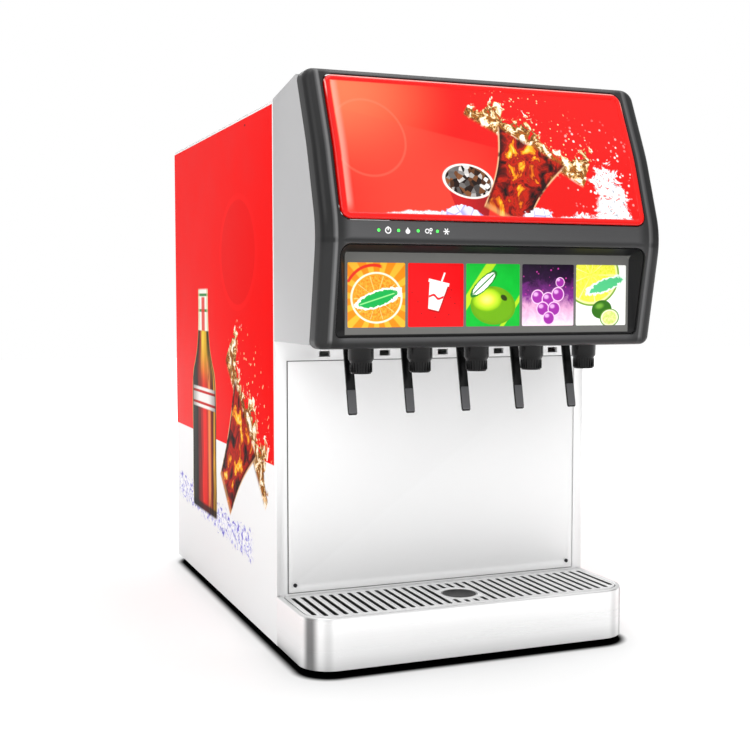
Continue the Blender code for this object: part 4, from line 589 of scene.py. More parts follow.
def glass_of_cola(p, base, across, foot, mouth, foot_half, mouth_half, seed):
    """Paints a tilted glass of cola, its splash and droplets over a base colour."""
    dx, dz = mouth[0] - foot[0], mouth[1] - foot[1]
    length = math.hypot(dx, dz)
    angle = math.atan2(dz, dx) - math.pi / 2
    u, v = p.split(p.local(across, (*foot, 0), angle, (length, length, 1)))
    field = p.local(across, (seed, seed, 0), 0.0, (length, length, 1))
    wave = p.noise(0.9 / length + 3.0, 4.0, 0.6, field, 0.6)
    field = p.local(across, (seed, 2 * seed, 0), 0.0, (length, length, 1))
    fine = p.noise(9.0, 5.0, 0.65, field, 0.8)
    # splash above the mouth, pulled up into ragged tongues
    rise = v - 1.0
    reach = p.curve(
        ((u + 1.0) * 0.5).most(0.0).least(1.0),
        [
            (0.0, 0.0), (0.03, 0.0), (0.07, 0.10), (0.13, 0.09), (0.19, 0.36), (0.24, 0.34),
            (0.29, 0.17), (0.37, 0.30), (0.46, 0.33), (0.55, 0.18), (0.66, 0.15), (0.75, 0.20),
            (0.85, 0.46), (0.88, 0.18), (0.90, 0.0), (1.0, 0.0),
        ],
    )
    crown = (rise - reach * (fine * 3.6 - 0.95)).below(0.0, 0.025)
    crown = crown * rise.above(-0.07, 0.03) * reach.above(0.03, 0.02)
    spray_field = p.local(across, (seed, seed, 0), 0.0, (length * 0.055, length * 0.055, 1))
    drops = p.cells(1.0, spray_field).below(0.20, 0.05)
    chance = p.noise(0.45, 2.0, 0.5, spray_field).above(0.52, 0.03)
    above = (foot[0] + dx * 1.25, foot[1] + dz * 1.25)
    cloud = p.span(across, above, (length * 0.82, length * 0.50), angle)
    spray = drops * chance * cloud.below(0.9, 0.25)
    gold = p.ramp(
        fine,
        [
            (0.34, "5A1E06"), (0.43, "B4681A"), (0.48, "3E1404"), (0.53, "E8B060"),
            (0.58, "FFF2D8"), (0.64, "FFFDF4"), (0.74, "B06A20"),
        ],
    )
    colour = p.mix(spray, base, "F6D9A0")
    colour = p.mix(crown, colour, gold)
    # glass body
    waist = p.maths_of("SINE", v * math.pi) * foot_half * 0.22
    half = (foot_half + (mouth_half - foot_half) * v - waist) / length
    side = abs(u) / half
    body = side.below(1.0, 0.03) * v.above(0.0, 0.02) * (v - wave * 0.10).below(0.98, 0.03)
    field = p.local(across, (seed, 0, 0), angle, (length, length * 1.3, 1))
    glow = p.noise(5.0, 4.0, 0.55, field, 0.5)
    cola = p.ramp(
        glow - abs(side - 0.1) * 0.10,
        [
            (0.34, "140302"), (0.41, "6A0A03"), (0.47, "C01E04"), (0.52, "8E1404"),
            (0.56, "F07808"), (0.60, "FFC020"), (0.68, "FFE89A"),
        ],
    )
    cola = p.mix(side.above(0.86, 0.05) * 0.75, cola, "2A0503")
    cola = p.mix(side.above(0.955, 0.02) * wave.above(0.45, 0.08), cola, "E9B98C")
    cola = p.mix((v - 0.06).below(0.0, 0.03) * 0.6, cola, "E2A368")
    return p.mix(body, colour, cola)


def ice_cubes(p, base, across, centre, radii, size, tint, angle=0.0, seed=0.0):
    """Paints a heap of faceted ice inside an ellipse."""
    field = p.local(across, (seed, seed, 0), 0.6, (size, size, 1))
    edge = p.cells(1.0, field, "DISTANCE_TO_EDGE")
    body = p.cells(1.0, field, "F1", out=1)
    ragged = p.noise(1.2, 3.0, 0.6, field)
    mask = (p.span(across, centre, radii, angle) + (ragged - 0.5) * 1.1).below(0.9, 0.06)
    tone = p.node("ShaderNodeSeparateColor", None, {0: body})
    faces = p.ramp(tone, [(0.0, "FFFFFF"), (0.45, "F2F2FF"), (0.7, "D9D9F4"), (1.0, tint)])
    faces = p.mix(edge.below(0.05, 0.04) * 0.8, faces, tint)
    return p.mix(mask, base, faces)


def lens_print():
    """The lit header: red film with a cola glass, an ice cup and a wave of soda, a painted reflection sweep
    and painted highlights along its border.
    """
    p = Paint("header_lens_print")
    x, _, z = p.axes()
    bottom = low("lightbox_lens").z
    u = x * 1000
    v = (z - (bottom - 0.008)) * 1000
    flat = p.flat(u, v)
    glow = p.span(flat, (-182.0, 160.0), (150.0, 120.0))
    colour = p.mix((1.05 - glow).step(0.0, 1.0) * 0.85, "DC0E0A", "F07A50")
    # painted reflection: a lighter diagonal sweep across the lower left of the lens
    reflection_reach = p.span(flat, (-95.0, 40.0), (150.0, 120.0))
    band = (v + u * 0.2 - 96.0).below(0.0, 1.2) * u.below(35.0, 60.0)
    colour = p.mix(band * (1.15 - reflection_reach).step(0.0, 1.0) * 0.55, colour, "E4503C")
    colour = p.mix((u - 60.0).step(0.0, 150.0) * 0.55, colour, "E00807")
    # a plain circle watermark
    mark = p.span(flat, (-150.0, 100.0), (44.0, 44.0))
    colour = p.mix(abs(mark - 1.0).below(0.03, 0.02) * 0.10, colour, "FFB090")
    # small cup with ice
    cup = p.span(flat, (-35.0, 54.0), (32.0, 20.0), -0.10)
    taper = 29.0 - (52.0 - v) * 0.28
    wall = (abs(u + 34.0) - taper).below(0.0, 0.8) * v.below(52.0, 1.0)
    shaded = p.mix((u + 60.0).step(0.0, 60.0), "C4171B", "8E0E14")
    colour = p.mix(wall, colour, shaded)
    colour = p.mix(cup.below(1.0, 0.03), colour, "FFF4EC")
    cubes = p.cells(0.17, flat, "F1", out=1)
    grey = p.node("ShaderNodeSeparateColor", None, {0: cubes})
    inner = p.ramp(
        grey,
        [
            (0.0, "0C0604"), (0.35, "2A130A"), (0.55, "84502C"), (0.7, "1A0C08"), (0.84, "8E8A88"),
            (1.0, "F0ECE8"),
        ],
    )
    colour = p.mix(cup.below(0.90, 0.03), colour, inner)
    # wave of soda along the foot, curling up at the right
    ragged = p.noise(0.055, 6.0, 0.68, flat, 1.2)
    crest = p.curve(
        (u + 190.0) / 380.0,
        [
            (0.0, 0.0), (0.07, 0.0), (0.10, 0.05), (0.16, 0.085), (0.22, 0.105), (0.30, 0.10),
            (0.40, 0.07), (0.48, 0.05), (0.56, 0.04), (0.64, 0.06), (0.74, 0.09), (0.80, 0.12),
            (0.88, 0.17), (0.93, 0.20), (0.965, 0.06), (1.0, 0.0),
        ],
    )
    swell = 7.0 + (u - 50.0).step(0.0, 60.0) * 30.0
    wave = (v - 6.0 - crest * 115.0 - (ragged - 0.5) * swell).below(0.0, 1.2) * crest.above(0.02, 0.01)
    hollow = (v - 5.0 - crest * 60.0 - (ragged - 0.5) * 10.0).below(0.0, 1.5) * u.step(-20.0, -50.0)
    wave = wave * (1 - hollow * 0.45)
    curl = (p.span(flat, (150.0, 44.0), (24.0, 37.0), 0.16) + (ragged - 0.5) * 2.2).below(0.90, 0.08)
    notch = (p.span(flat, (118.0, 40.0), (20.0, 13.0), 0.5) + (ragged - 0.5) * 0.8).below(0.9, 0.2)
    churn = p.noise(0.12, 6.0, 0.72, flat, 1.6)
    foam = p.ramp(
        churn,
        [
            (0.34, "8A8E98"), (0.43, "E8E8EE"), (0.50, "FFFFFF"), (0.56, "FFFFFF"),
            (0.62, "B8A8AC"), (0.72, "F4F0F0"),
        ],
    )
    beads = p.cells(0.16, flat).below(0.24, 0.06) * p.noise(0.05, 2.0, 0.5, flat).above(0.50, 0.04)
    near = p.span(flat, (140.0, 72.0), (52.0, 62.0), 0.2).below(0.9, 0.25)
    colour = p.mix(beads * near, colour, "FFF2EE")
    lace = 1 - churn.above(0.57, 0.02) * (u - 90.0).step(0.0, 20.0) * 0.8
    colour = p.mix(wave.most(curl * (1 - notch)) * lace, colour, foam)
    colour = glass_of_cola(p, colour, flat, (5.0, 12.0), (53.0, 96.0), 28.0, 45.0, 11.0)
    colour = ice_cubes(p, colour, flat, (-48.0, 14.0), (27.0, 13.0), 13.0, "9A96D8", 0.0, 5.0)
    colour = ice_cubes(p, colour, flat, (50.0, 14.0), (22.0, 12.0), 13.0, "9A96D8", 0.1, 9.0)
    a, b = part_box("lightbox_lens")
    inset = (192.5 - abs(u)).least((v - 8.0).least((b.z - a.z) * 1000 + 8.0 - v))
    # painted highlight: a pale strip just inside the left border
    gleam = (u + 184.0).step(-1.5, 0.5) * (u + 184.0).step(9.0, 1.0) * v.step(12.0, 30.0)
    colour = p.mix(gleam * 0.55, colour, "FFB0A0")
    # painted highlight: a pale line along the upper border
    top_gleam = abs(inset - 1.2).below(0.6, 0.5) * v.above(150.0, 8.0)
    border = inset.step(7.6, 6.2)
    colour = p.mix(border, colour, p.mix(inset.step(0.0, 5.0), "C80C08", "E41410"))
    colour = p.mix(top_gleam * 0.6, colour, "FFC8BC")
    return p.surface(
        base_color=colour,
        roughness=0.12 + p.noise(6.0) * 0.03,
        specular_ior_level=0.28,
        emission_color=colour,
        emission_strength=0.10,
        normal=p.bump(p.noise(220.0, 2.0), 0.00002, 0.25),
    )


def side_print(node, outward):
    """White painted side with a red film, a plain bottle, a cola glass and ice."""
    p = Paint(node + "_print")
    x, y, z = p.axes()
    u, v = y * 1000, z * 1000
    flat = p.flat(u, v)
    white = "F4F4F4"
    film = v.above(230.5, 0.6)
    tone = p.noise(12.0, 3.0)
    red = p.mix(tone, "EC0506", "F30302")
    ringed = p.span(flat, (-21.0, 497.0), (92.0, 74.0))
    red = p.mix(ringed.below(1.0, 0.02) * 0.5, red, "E10507")
    red = p.mix(abs(ringed - 1.0).below(0.05, 0.03) * 0.5, red, "FF1616")
    colour = p.mix(film, white, red)
    # ice along the foot of the print
    slope = v - 118.0 + (u - 100.0) * -0.055
    field = p.local(flat, (3, 7, 0), 0.5, (19.0, 12.0, 1))
    edge = p.cells(1.0, field, "DISTANCE_TO_EDGE")
    ragged = p.noise(1.6, 4.0, 0.65, field, 0.5)
    heap = (abs(slope) / 24.0 + (ragged - 0.5) * 1.8).below(0.7, 0.15)
    heap = heap * u.step(-96.0, -70.0) * u.step(372.0, 340.0)
    ice = p.ramp(
        ragged,
        [
            (0.34, "3A2EC0"), (0.40, "8A82DC"), (0.45, "DCDCF6"), (0.50, "FAFAFE"),
            (0.60, "FFFFFF"), (0.66, "B8B6D8"),
        ],
    )
    ice = p.mix(edge.below(0.05, 0.05) * 0.35, ice, "7A74B8")
    colour = p.mix(heap, colour, ice)
    colour = glass_of_cola(p, colour, flat, (55.0, 158.0), (-51.0, 274.0), 38.0, 70.0, 23.0)
    # bottle with a plain neck band
    across = (u - 181.0) / 77.0
    rise = (v - 112.0) / 337.0
    half = p.curve(
        rise.most(0.0).least(1.0),
        [
            (0.0, 0.92), (0.02, 0.97), (0.30, 0.97), (0.55, 0.97), (0.61, 0.92), (0.68, 0.70),
            (0.76, 0.50), (0.84, 0.42), (0.90, 0.40), (1.0, 0.40),
        ],
    )
    side = abs(across) / half
    body = side.below(1.0, 0.02) * rise.above(0.0, 0.008) * rise.below(1.0, 0.006)
    streak = p.noise(1.0, 3.0, 0.6, p.local(flat, (0, 0, 0), 0.0, (16.0, 150.0, 1)), 0.4)
    shadow = across / half
    liquid = p.ramp(
        shadow * 0.5 + 0.5 + (streak - 0.5) * 0.35,
        [
            (0.05, "E0A020"), (0.12, "1A0502"), (0.28, "9A1208"), (0.50, "F01808"),
            (0.66, "8C0E06"), (0.80, "140303"), (0.95, "2A2A22"),
        ],
    )
    amber = p.ramp(
        shadow * 0.5 + 0.5 + (streak - 0.5) * 0.5,
        [(0.08, "2A2A08"), (0.25, "D8A818"), (0.50, "F8D840"), (0.70, "B02808"), (0.90, "181808")],
    )
    fill = p.mix(rise.step(0.55, 0.80), liquid, amber)
    label = rise.above(0.468, 0.004) * rise.below(0.560, 0.004)
    mark = p.mix(abs(abs(rise - 0.514) - 0.026).below(0.006, 0.002), "F4F0EC", "C81A12")
    mark = p.mix(side.step(0.30, 0.94) * 0.6, mark, "2A0A08")
    fill = p.mix(label, fill, mark)
    band = rise.above(0.815, 0.003)
    rings = abs(rise - 0.905).below(0.006, 0.002).most(abs(rise - 0.975).below(0.006, 0.002))
    cloth = p.mix(rings, "F2F0E6", "3E8A4A")
    cloth = p.mix(side.above(0.72, 0.06) * 0.7, cloth, "D8C890")
    cloth = p.mix(abs(across).below(0.13, 0.02) * rise.below(0.965, 0.004) * 0.9, cloth, "E2231C")
    fill = p.mix(band, fill, cloth)
    gleam = abs(shadow + 0.45).below(0.10, 0.06) * streak.above(0.46, 0.05) * (1 - band) * (1 - label)
    fill = p.mix(gleam * 0.7, fill, "FF9A50")
    fill = p.mix(side.above(0.90, 0.03) * (1 - band) * 0.85, fill, "0E0604")
    fill = p.mix(side.above(0.965, 0.02) * (1 - band) * streak.above(0.45, 0.05), fill, "D8C070")
    fill = p.mix(rise.below(0.035, 0.008) * 0.9, fill, "0A0404")
    colour = p.mix(body, colour, fill)
    # paint shows round the film and on the folded edges
    border = low(node).y * 1000
    inside = u.above(border + 3.0, 0.4) * v.below(high(node).z * 1000 - 2.0, 0.4)
    outer = abs(x).above(high("right_side_panel").x - 0.0004, 0.0001) * (x * outward).above(0.0, 0.001)
    colour = p.mix(inside * outer, white, colour)
    specks = p.cells(0.028, p.flat(u, 0.0)).below(0.10, 0.03) * abs(v - 660.0).below(1.2, 0.4)
    front = p.cells(0.025, p.flat(v, 31.0)).below(0.10, 0.03) * abs(u + 184.0).below(1.0, 0.4) * film
    colour = p.mix((specks + front).least(1.0) * outer, colour, "5A0808")
    return p.surface(
        base_color=colour,
        roughness=0.38 + tone * 0.08,
        specular_ior_level=0.015,
        normal=p.bump(p.noise(500.0, 2.0), 0.00003, 0.3),
    )


def card_base(card):
    """Paint and the card's own flat millimetres, measured from its centre."""
    p = Paint(f"flavour_print_{card}")
    a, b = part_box(f"flavour_card_{card}")
    x, _, z = p.axes()
    u = (x - (a.x + b.x) / 2) * 1000
    v = (z - (a.z + b.z) / 2) * 1000
    return p, u, v, p.flat(u, v)


def card_surface_with_glow(p, colour):
    # painted light: a faint emission brightens the printed card
    return p.surface(
        base_color=colour,
        roughness=0.28 + p.noise(60.0) * 0.08,
        specular_ior_level=0.12,
        emission_color=colour,
        emission_strength=0.14,
        normal=p.bump(p.noise(700.0, 2.0), 0.00002, 0.3),
    )


def orange_card():
    p, u, v, flat = card_base(1)
    angle = p.maths_of("ARCTAN2", v + 4.0, u)
    rays = p.maths_of("SINE", angle * 15.0).above(0.1, 0.25)
    colour = p.mix(rays * 0.7, "F08A14", "FBC43C")
    pulp = p.noise(0.35, 4.0, 0.7, flat)
    disc = p.span(flat, (0.0, -3.0), (31.0, 28.5))
    fruit = p.mix(pulp.step(0.35, 0.65), "EE7A10", "FAB238")
    segments = abs(p.maths_of("SINE", angle * 5.0)).below(0.10, 0.08)
    fruit = p.mix(segments * 0.7 * disc.above(0.12, 0.05), fruit, "FFD98A")
    colour = p.mix(disc.below(1.0, 0.02), colour, "FFF3D6")
    colour = p.mix(disc.below(0.93, 0.02), colour, "F59A22")
    colour = p.mix(disc.below(0.87, 0.02), colour, fruit)
    ragged = p.noise(0.16, 3.0, 0.6, flat)
    leaf = p.span(flat, (2.0, -4.0), (30.0, 9.5), 0.30) + (ragged - 0.5) * 0.55
    colour = p.mix(leaf.below(1.0, 0.03), colour, "F2FBEA")
    colour = p.mix(leaf.below(0.80, 0.04), colour, "17A84A")
    vein = abs(p.split(p.local(flat, (2.0, -4.0, 0), 0.30))[1]).below(0.7, 0.3)
    colour = p.mix(vein * leaf.below(0.72, 0.05), colour, "8FE08A")
    arc = abs(p.span(flat, (-4.0, -3.0), (34.0, 36.0)) - 1.0).below(0.05, 0.02) * v.above(14.0, 1.0)
    colour = p.mix(arc * u.below(6.0, 2.0), colour, "E2341E")
    return card_surface_with_glow(p, colour)


def cola_card():
    p, _, _, flat = card_base(2)
    tone = p.noise(0.05, 3.0, 0.5, flat)
    colour = p.mix(tone, "E30710", "F20A12")
    field = p.local(flat, (1.3, 2.1, 0), 0.0, (5.2, 5.2, 1))
    dots = p.cells(1.0, field, randomness=0.9).below(0.16, 0.05)
    dots = dots * p.span(flat, (0, 0), (34, 34)).below(0.9, 0.15)
    colour = p.mix(dots * 0.75, colour, "7A0208")
    # plain tumbler with a straw
    across, up = p.split(p.local(flat, (0.0, -2.0, 0), -0.22))
    cup = (abs(across) - (9.0 + up * 0.16)).below(0.0, 0.5) * abs(up).below(15.0, 0.4)
    lid = abs(across).below(13.0, 0.5) * abs(up - 16.5).below(1.8, 0.4)
    straw = abs(across - 3.0 - (up - 18.0) * 0.15).below(1.0, 0.4)
    straw = straw * up.above(18.0, 0.4) * up.below(29.0, 0.4)
    waves = abs(up + p.maths_of("SINE", across * 0.5) * 1.5).below(1.4, 0.5) * cup
    shape = cup.most(lid).most(straw)
    shadow = (abs(across - 1.0) - (9.0 + up * 0.16)).below(0.8, 0.8) * abs(up + 1.0).below(16.0, 0.8)
    colour = p.mix(shadow * 0.6, colour, "6E0206")
    colour = p.mix(shape, colour, "FFF6F4")
    colour = p.mix(waves, colour, "E3101A")
    return card_surface_with_glow(p, colour)


def apple_card():
    p, _, _, flat = card_base(3)
    tone = p.noise(0.05, 3.0, 0.5, flat)
    colour = p.mix(tone, "06A82A", "10C43A")
    _, slant = p.split(p.local(flat, (0, 0, 0), 0.95))
    stripe = abs(slant - 23.0).below(5.0, 0.8).most(abs(slant + 30.0).below(2.2, 0.8))
    colour = p.mix(stripe * 0.9, colour, "B8DE22")
    apple = p.span(flat, (0.0, -12.0), (29.0, 22.0), -0.10)
    dip = p.span(flat, (9.0, 9.0), (10.0, 5.0))
    light = p.span(flat, (-8.0, -5.0), (20.0, 14.0))
    skin = p.ramp(light, [(0.0, "F6FF8A"), (0.45, "D6EE3A"), (0.85, "9ACC10"), (1.0, "6AA808")])
    skin = p.mix(apple.step(0.80, 1.0) * 0.7, skin, "5E9A08")
    skin = p.mix(dip.below(0.8, 0.4) * 0.6, skin, "7AA80A")
    colour = p.mix(apple.below(1.0, 0.02), colour, skin)
    stem = p.span(flat, (14.0, -3.0), (4.6, 3.0), -0.6).below(1.0, 0.2)
    colour = p.mix(stem, colour, "2A3A08")
    leaf = p.span(flat, (-12.0, 13.0), (22.0, 7.0), 0.72)
    ragged = p.noise(0.2, 3.0, 0.6, flat)
    colour = p.mix((leaf + (ragged - 0.5) * 0.3).below(1.0, 0.04), colour, "1E7A28")
    colour = p.mix((leaf + (ragged - 0.5) * 0.3).below(0.82, 0.04), colour, "F6FBF4")
    vein = abs(p.split(p.local(flat, (-12.0, 13.0, 0), 0.72))[1]).below(0.8, 0.3)
    colour = p.mix(vein * leaf.below(0.8, 0.1), colour, "1E7A28")
    return card_surface_with_glow(p, colour)


def grape_card():
    p, _, v, flat = card_base(4)
    tone = p.noise(0.09, 5.0, 0.65, flat, 0.6)
    colour = p.ramp(
        (v + 36.0) / 72.0 + (tone - 0.5) * 0.5,
        [(0.05, "F6DCEC"), (0.32, "D79AC4"), (0.50, "7A2A84"), (0.75, "2A0A34"), (1.0, "16061E")],
    )
    sparks = p.cells(0.20, flat).below(0.22, 0.08) * p.noise(0.09, 2.0, 0.5, flat).above(0.5, 0.05)
    colour = p.mix(sparks * v.above(2.0, 8.0), colour, "C03A9A")
    for cx, cz, r in (
        (-14, -2, 8.5),
        (0, -5, 8.5),
        (13, 1, 8.5),
        (-7, -16, 8.5),
        (8, -16, 8.5),
        (1, -27, 8.0),
        (16, 15, 6.0),
    ):
        grape = p.span(flat, (cx, cz), (r, r))
        gleam = p.span(flat, (cx - 2.5, cz + 3.0), (r * 0.45, r * 0.35))
        colour = p.mix(grape.below(1.0, 0.06), colour, "F6C8EC")
        colour = p.mix(grape.below(0.86, 0.06), colour, "9A2A9E")
        colour = p.mix(gleam.below(0.8, 0.4) * 0.8, colour, "F0B8F0")
    return card_surface_with_glow(p, colour)


def lime_card():
    p, u, v, flat = card_base(5)
    colour = p.mix(p.noise(0.05, 2.0, 0.5, flat), "FFFFFF", "F2F6EC")
    disc = p.span(flat, (-14.0, 24.0), (39.0, 37.0))
    angle = p.maths_of("ARCTAN2", v - 24.0, u + 14.0)
    pulp = p.noise(0.3, 4.0, 0.7, flat)
    flesh = p.mix(pulp.step(0.3, 0.7), "D6DE1E", "F4F060")
    ribs = abs(p.maths_of("SINE", angle * 4.5)).below(0.10, 0.08)
    flesh = p.mix(ribs * 0.7, flesh, "FBFBC0")
    colour = p.mix(disc.below(1.0, 0.02), colour, "6E9A10")
    colour = p.mix(disc.below(0.94, 0.02), colour, "E8F0A0")
    colour = p.mix(disc.below(0.87, 0.02), colour, flesh)
    ragged = p.noise(0.2, 3.0, 0.6, flat)
    sprig = (p.span(flat, (6.0, 12.0), (30.0, 8.0), 0.34) + (ragged - 0.5) * 0.9)
    colour = p.mix(sprig.below(1.0, 0.06), colour, "E6F6EA")
    colour = p.mix(sprig.below(0.78, 0.06), colour, "4FBE7E")
    whole = p.span(flat, (1.0, -17.0), (14.0, 11.0), 0.2)
    gleam = p.span(flat, (-2.0, -13.0), (7.0, 4.0), 0.2)
    colour = p.mix(whole.below(1.0, 0.05), colour, "2E6A12")
    colour = p.mix(gleam.below(0.7, 0.5) * 0.8, colour, "7AB83A")
    half = p.span(flat, (12.0, -27.0), (13.5, 11.0), 0.1)
    colour = p.mix(half.below(1.0, 0.05), colour, "4E8A1A")
    colour = p.mix(half.below(0.88, 0.05), colour, "F2F6C8")
    core = p.mix(pulp.step(0.3, 0.7), "C2D85A", "E6F0A0")
    colour = p.mix(half.below(0.74, 0.05), colour, core)
    return card_surface_with_glow(p, colour)


def fascia_plastic():
    """Dark grey moulding with small white marks beside the lamps, painted shade on its flanks, edges and
    right side, and a painted highlight line down each side.
    """
    p = Paint("fascia_moulding")
    look = the_look()
    x, y, z = p.axes()
    cloud = p.noise(10.0, 4.0)
    colour = p.mix(cloud, tuple(c * 0.92 for c in look.fascia_grey), tuple(look.fascia_grey))
    marks = None
    for i, cx in enumerate(LAMP_X):
        flat = p.flat((x - cx - MARK_OFFSET) * 740, (z - LAMP_Z) * 740)
        r = p.span(flat, (0, 0), (1, 1))
        if i == 0:
            across, b = p.split(flat)
            bar = abs(across).below(0.5, 0.2) * abs(b - 1.6).below(1.6, 0.2)
            icon = abs(r - 2.3).below(0.45, 0.2).most(bar)
        elif i == 1:
            drop = p.span(flat, (0, -0.6), (2.0, 2.0))
            across, b = p.split(flat)
            cone = (abs(across) - (2.9 - b) * 0.52).below(0.0, 0.2) * b.above(-0.2, 0.2)
            icon = drop.below(1.0, 0.1).most(cone * b.below(2.9, 0.2))
        elif i == 2:
            icon = abs(r - 1.6).below(0.4, 0.2)
            icon = icon.most(abs(p.span(flat, (3.4, 1.2), (1, 1)) - 1.0).below(0.4, 0.2))
            icon = icon.most(p.span(flat, (3.0, -1.8), (1, 1)).below(0.8, 0.2))
        else:
            icon = None
            for turn in (0.0, math.radians(60), math.radians(120)):
                across, b = p.split(p.local(flat, (0, 0, 0), turn))
                bar = abs(b).below(0.42, 0.18) * abs(across).below(2.8, 0.2)
                icon = bar if icon is None else icon.most(bar)
        marks = icon if marks is None else marks.most(icon)
    # painted shade: the outer flanks and the lower and upper edge bands darker, as they turn away from the
    # light
    flank_shade = abs(x).step(0.2005, 0.2035)
    flank_shade = flank_shade.most(z.step(FASCIA_LOW.z + 0.0120, FASCIA_LOW.z + 0.0050))
    flank_shade = flank_shade.most(z.step(FASCIA_HIGH.z - 0.0045, FASCIA_HIGH.z - 0.0005))
    # painted shade beside the windows and in a band just above the card window, where the recess edge lies
    # in shadow
    shoulder_shade = abs(x).step(0.1800, 0.1930) * abs(x).below(0.1970, 0.001)
    brow_shade = z.above(0.4955, 0.0015) * z.step(0.5030, 0.4985)
    colour = p.mix(shoulder_shade.most(brow_shade) * 0.85, colour, "0B0B0C")
    # painted highlight: a light line along the edge bevel on both sides
    colour = p.mix(abs(abs(x) - 0.1985).step(0.0024, 0.0006) * 0.30, colour, "9A9A9A")
    colour = p.mix(flank_shade * 0.9, colour, "0C0C0D")
    # painted shade: the front grows darker towards the right, away from the light
    colour = p.mix((x + 0.20).step(0.0, 0.40) * (1 - flank_shade) * 0.45, colour, "303031")
    front = y.below(-0.3650, 0.001)
    colour = p.mix(marks * front, colour, "F4F4F4")
    return p.surface(
        base_color=colour,
        roughness=look.fascia_gloss - 0.03 + cloud * 0.08,
        specular_ior_level=0.30,
        normal=p.bump(p.noise(700.0, 2.0), 0.00005, 0.4),
    )


# ---------------------------------------------------------------- repeated shapes


def new_tree(name, inputs):
    """An empty geometry tree with named inputs; gives the tree and its input node."""
    tree = bpy.data.node_groups.new(name, "GeometryNodeTree")
    tree.interface.new_socket("Geometry", in_out="OUTPUT", socket_type="NodeSocketGeometry")
    for label, kind in inputs:
        tree.interface.new_socket(label, in_out="INPUT", socket_type="NodeSocket" + kind)
    return tree, tree.nodes.new("NodeGroupInput")


def tree_node(tree, kind, settings=None, inputs=None):
    made = tree.nodes.new(kind)
    for key, value in (settings or {}).items():
        setattr(made, key, value)
    for key, value in (inputs or {}).items():
        if isinstance(value, bpy.types.NodeSocket):
            tree.links.new(value, made.inputs[key])
        else:
            made.inputs[key].default_value = value
    return made


def in_line(tree, given):
    """Points in a straight row, from the tree's own inputs."""
    values = {"Count": given["Count"], "Start Location": given["First"], "Offset": given["Step"]}
    return tree_node(tree, "GeometryNodeMeshLine", None, values).outputs[0]


def spread(tree, points, instance, **more):
    """One instance on every point."""
    values = {"Points": points, "Instance": instance, **more}
    return tree_node(tree, "GeometryNodeInstanceOnPoints", None, values).outputs[0]


def shifted(tree, geometry, **how):
    """Geometry moved, turned or scaled."""
    return tree_node(tree, "GeometryNodeTransform", None, {"Geometry": geometry, **how}).outputs[0]


def shape(tree, kind, **sizes):
    """One of the basic shapes."""
    sizes = {key.replace("_", " "): value for key, value in sizes.items()}
    return tree_node(tree, "GeometryNodeMesh" + kind, None, sizes).outputs[0]


def close_tree(tree, geometry, material):
    """Ends a tree in real geometry that carries its material."""
    solid = tree_node(tree, "GeometryNodeRealizeInstances", None, {0: geometry})
    painted = tree_node(
        tree, "GeometryNodeSetMaterial", None, {0: solid.outputs[0], "Material": material},
    )
    end = tree.nodes.new("NodeGroupOutput")
    tree.links.new(painted.outputs[0], end.inputs[0])


ROW = [("Count", "Int"), ("First", "Vector"), ("Step", "Vector")]
MATERIAL = ("Material", "Material")


def row_tree():
    """Blocks in a straight row."""
    tree, given = new_tree("block_row", [*ROW, ("Size", "Vector"), MATERIAL])
    out = given.outputs
    block = shape(tree, "Cube", Size=out["Size"])
    close_tree(tree, spread(tree, in_line(tree, out), block), out["Material"])
    return tree


def ring_tree():
    """Blocks standing round an upright axis."""
    inputs = [("Count", "Int"), ("Radius", "Float"), ("Size", "Vector"), ("Middle", "Vector"), MATERIAL]
    tree, given = new_tree("block_ring", inputs)
    out = given.outputs
    circle = shape(tree, "Circle", Vertices=out["Count"], Radius=out["Radius"])
    place = tree_node(tree, "GeometryNodeInputPosition").outputs[0]
    turn = tree_node(tree, "FunctionNodeAlignEulerToVector", {"axis": "X"}, {"Vector": place})
    block = shape(tree, "Cube", Size=out["Size"])
    blocks = spread(tree, circle, block, Rotation=turn.outputs[0])
    close_tree(tree, shifted(tree, blocks, Translation=out["Middle"]), out["Material"])
    return tree


def dome_tree():
    """Flattened balls in a row, as lamp lenses are."""
    inputs = [*ROW, ("Radius", "Float"), ("Flatten", "Vector"), MATERIAL]
    tree, given = new_tree("dome_row", inputs)
    out = given.outputs
    ball = shape(tree, "UVSphere", Segments=24, Rings=12, Radius=out["Radius"])
    balls = spread(tree, in_line(tree, out), ball, Scale=out["Flatten"])
    close_tree(tree, balls, out["Material"])
    return tree


def screw_tree():
    """Pan-head screws with a cross recess, in a row, facing the front."""
    slot_long, slot_wide, slot_height = 0.0030, 0.0006, 0.0021
    tree, given = new_tree("screw_row", [*ROW, ("Radius", "Float"), ("Height", "Float"), MATERIAL])
    out = given.outputs
    sizes = {"Vertices": 28, "Side_Segments": 1, "Radius": out["Radius"], "Depth": out["Height"]}
    head = shape(tree, "Cylinder", **sizes)
    crown = shape(tree, "UVSphere", Segments=28, Rings=14, Radius=out["Radius"])
    domed = shifted(tree, crown, Scale=(1.0, 1.0, 0.55))
    body = tree_node(tree, "GeometryNodeMeshBoolean", {"operation": "UNION"})
    tree.links.new(head, body.inputs["Mesh 2"])
    tree.links.new(domed, body.inputs["Mesh 2"])
    cut = tree_node(tree, "GeometryNodeMeshBoolean", {"operation": "DIFFERENCE"})
    tree.links.new(body.outputs[0], cut.inputs["Mesh 1"])
    for size in ((slot_long, slot_wide, slot_long), (slot_wide, slot_long, slot_long)):
        block = shifted(tree, shape(tree, "Cube", Size=size), Translation=(0, 0, slot_height))
        tree.links.new(block, cut.inputs["Mesh 2"])
    faced = shifted(tree, cut.outputs[0], Rotation=Euler((math.radians(90), 0, 0)))
    close_tree(tree, spread(tree, in_line(tree, out), faced), out["Material"])
    return tree


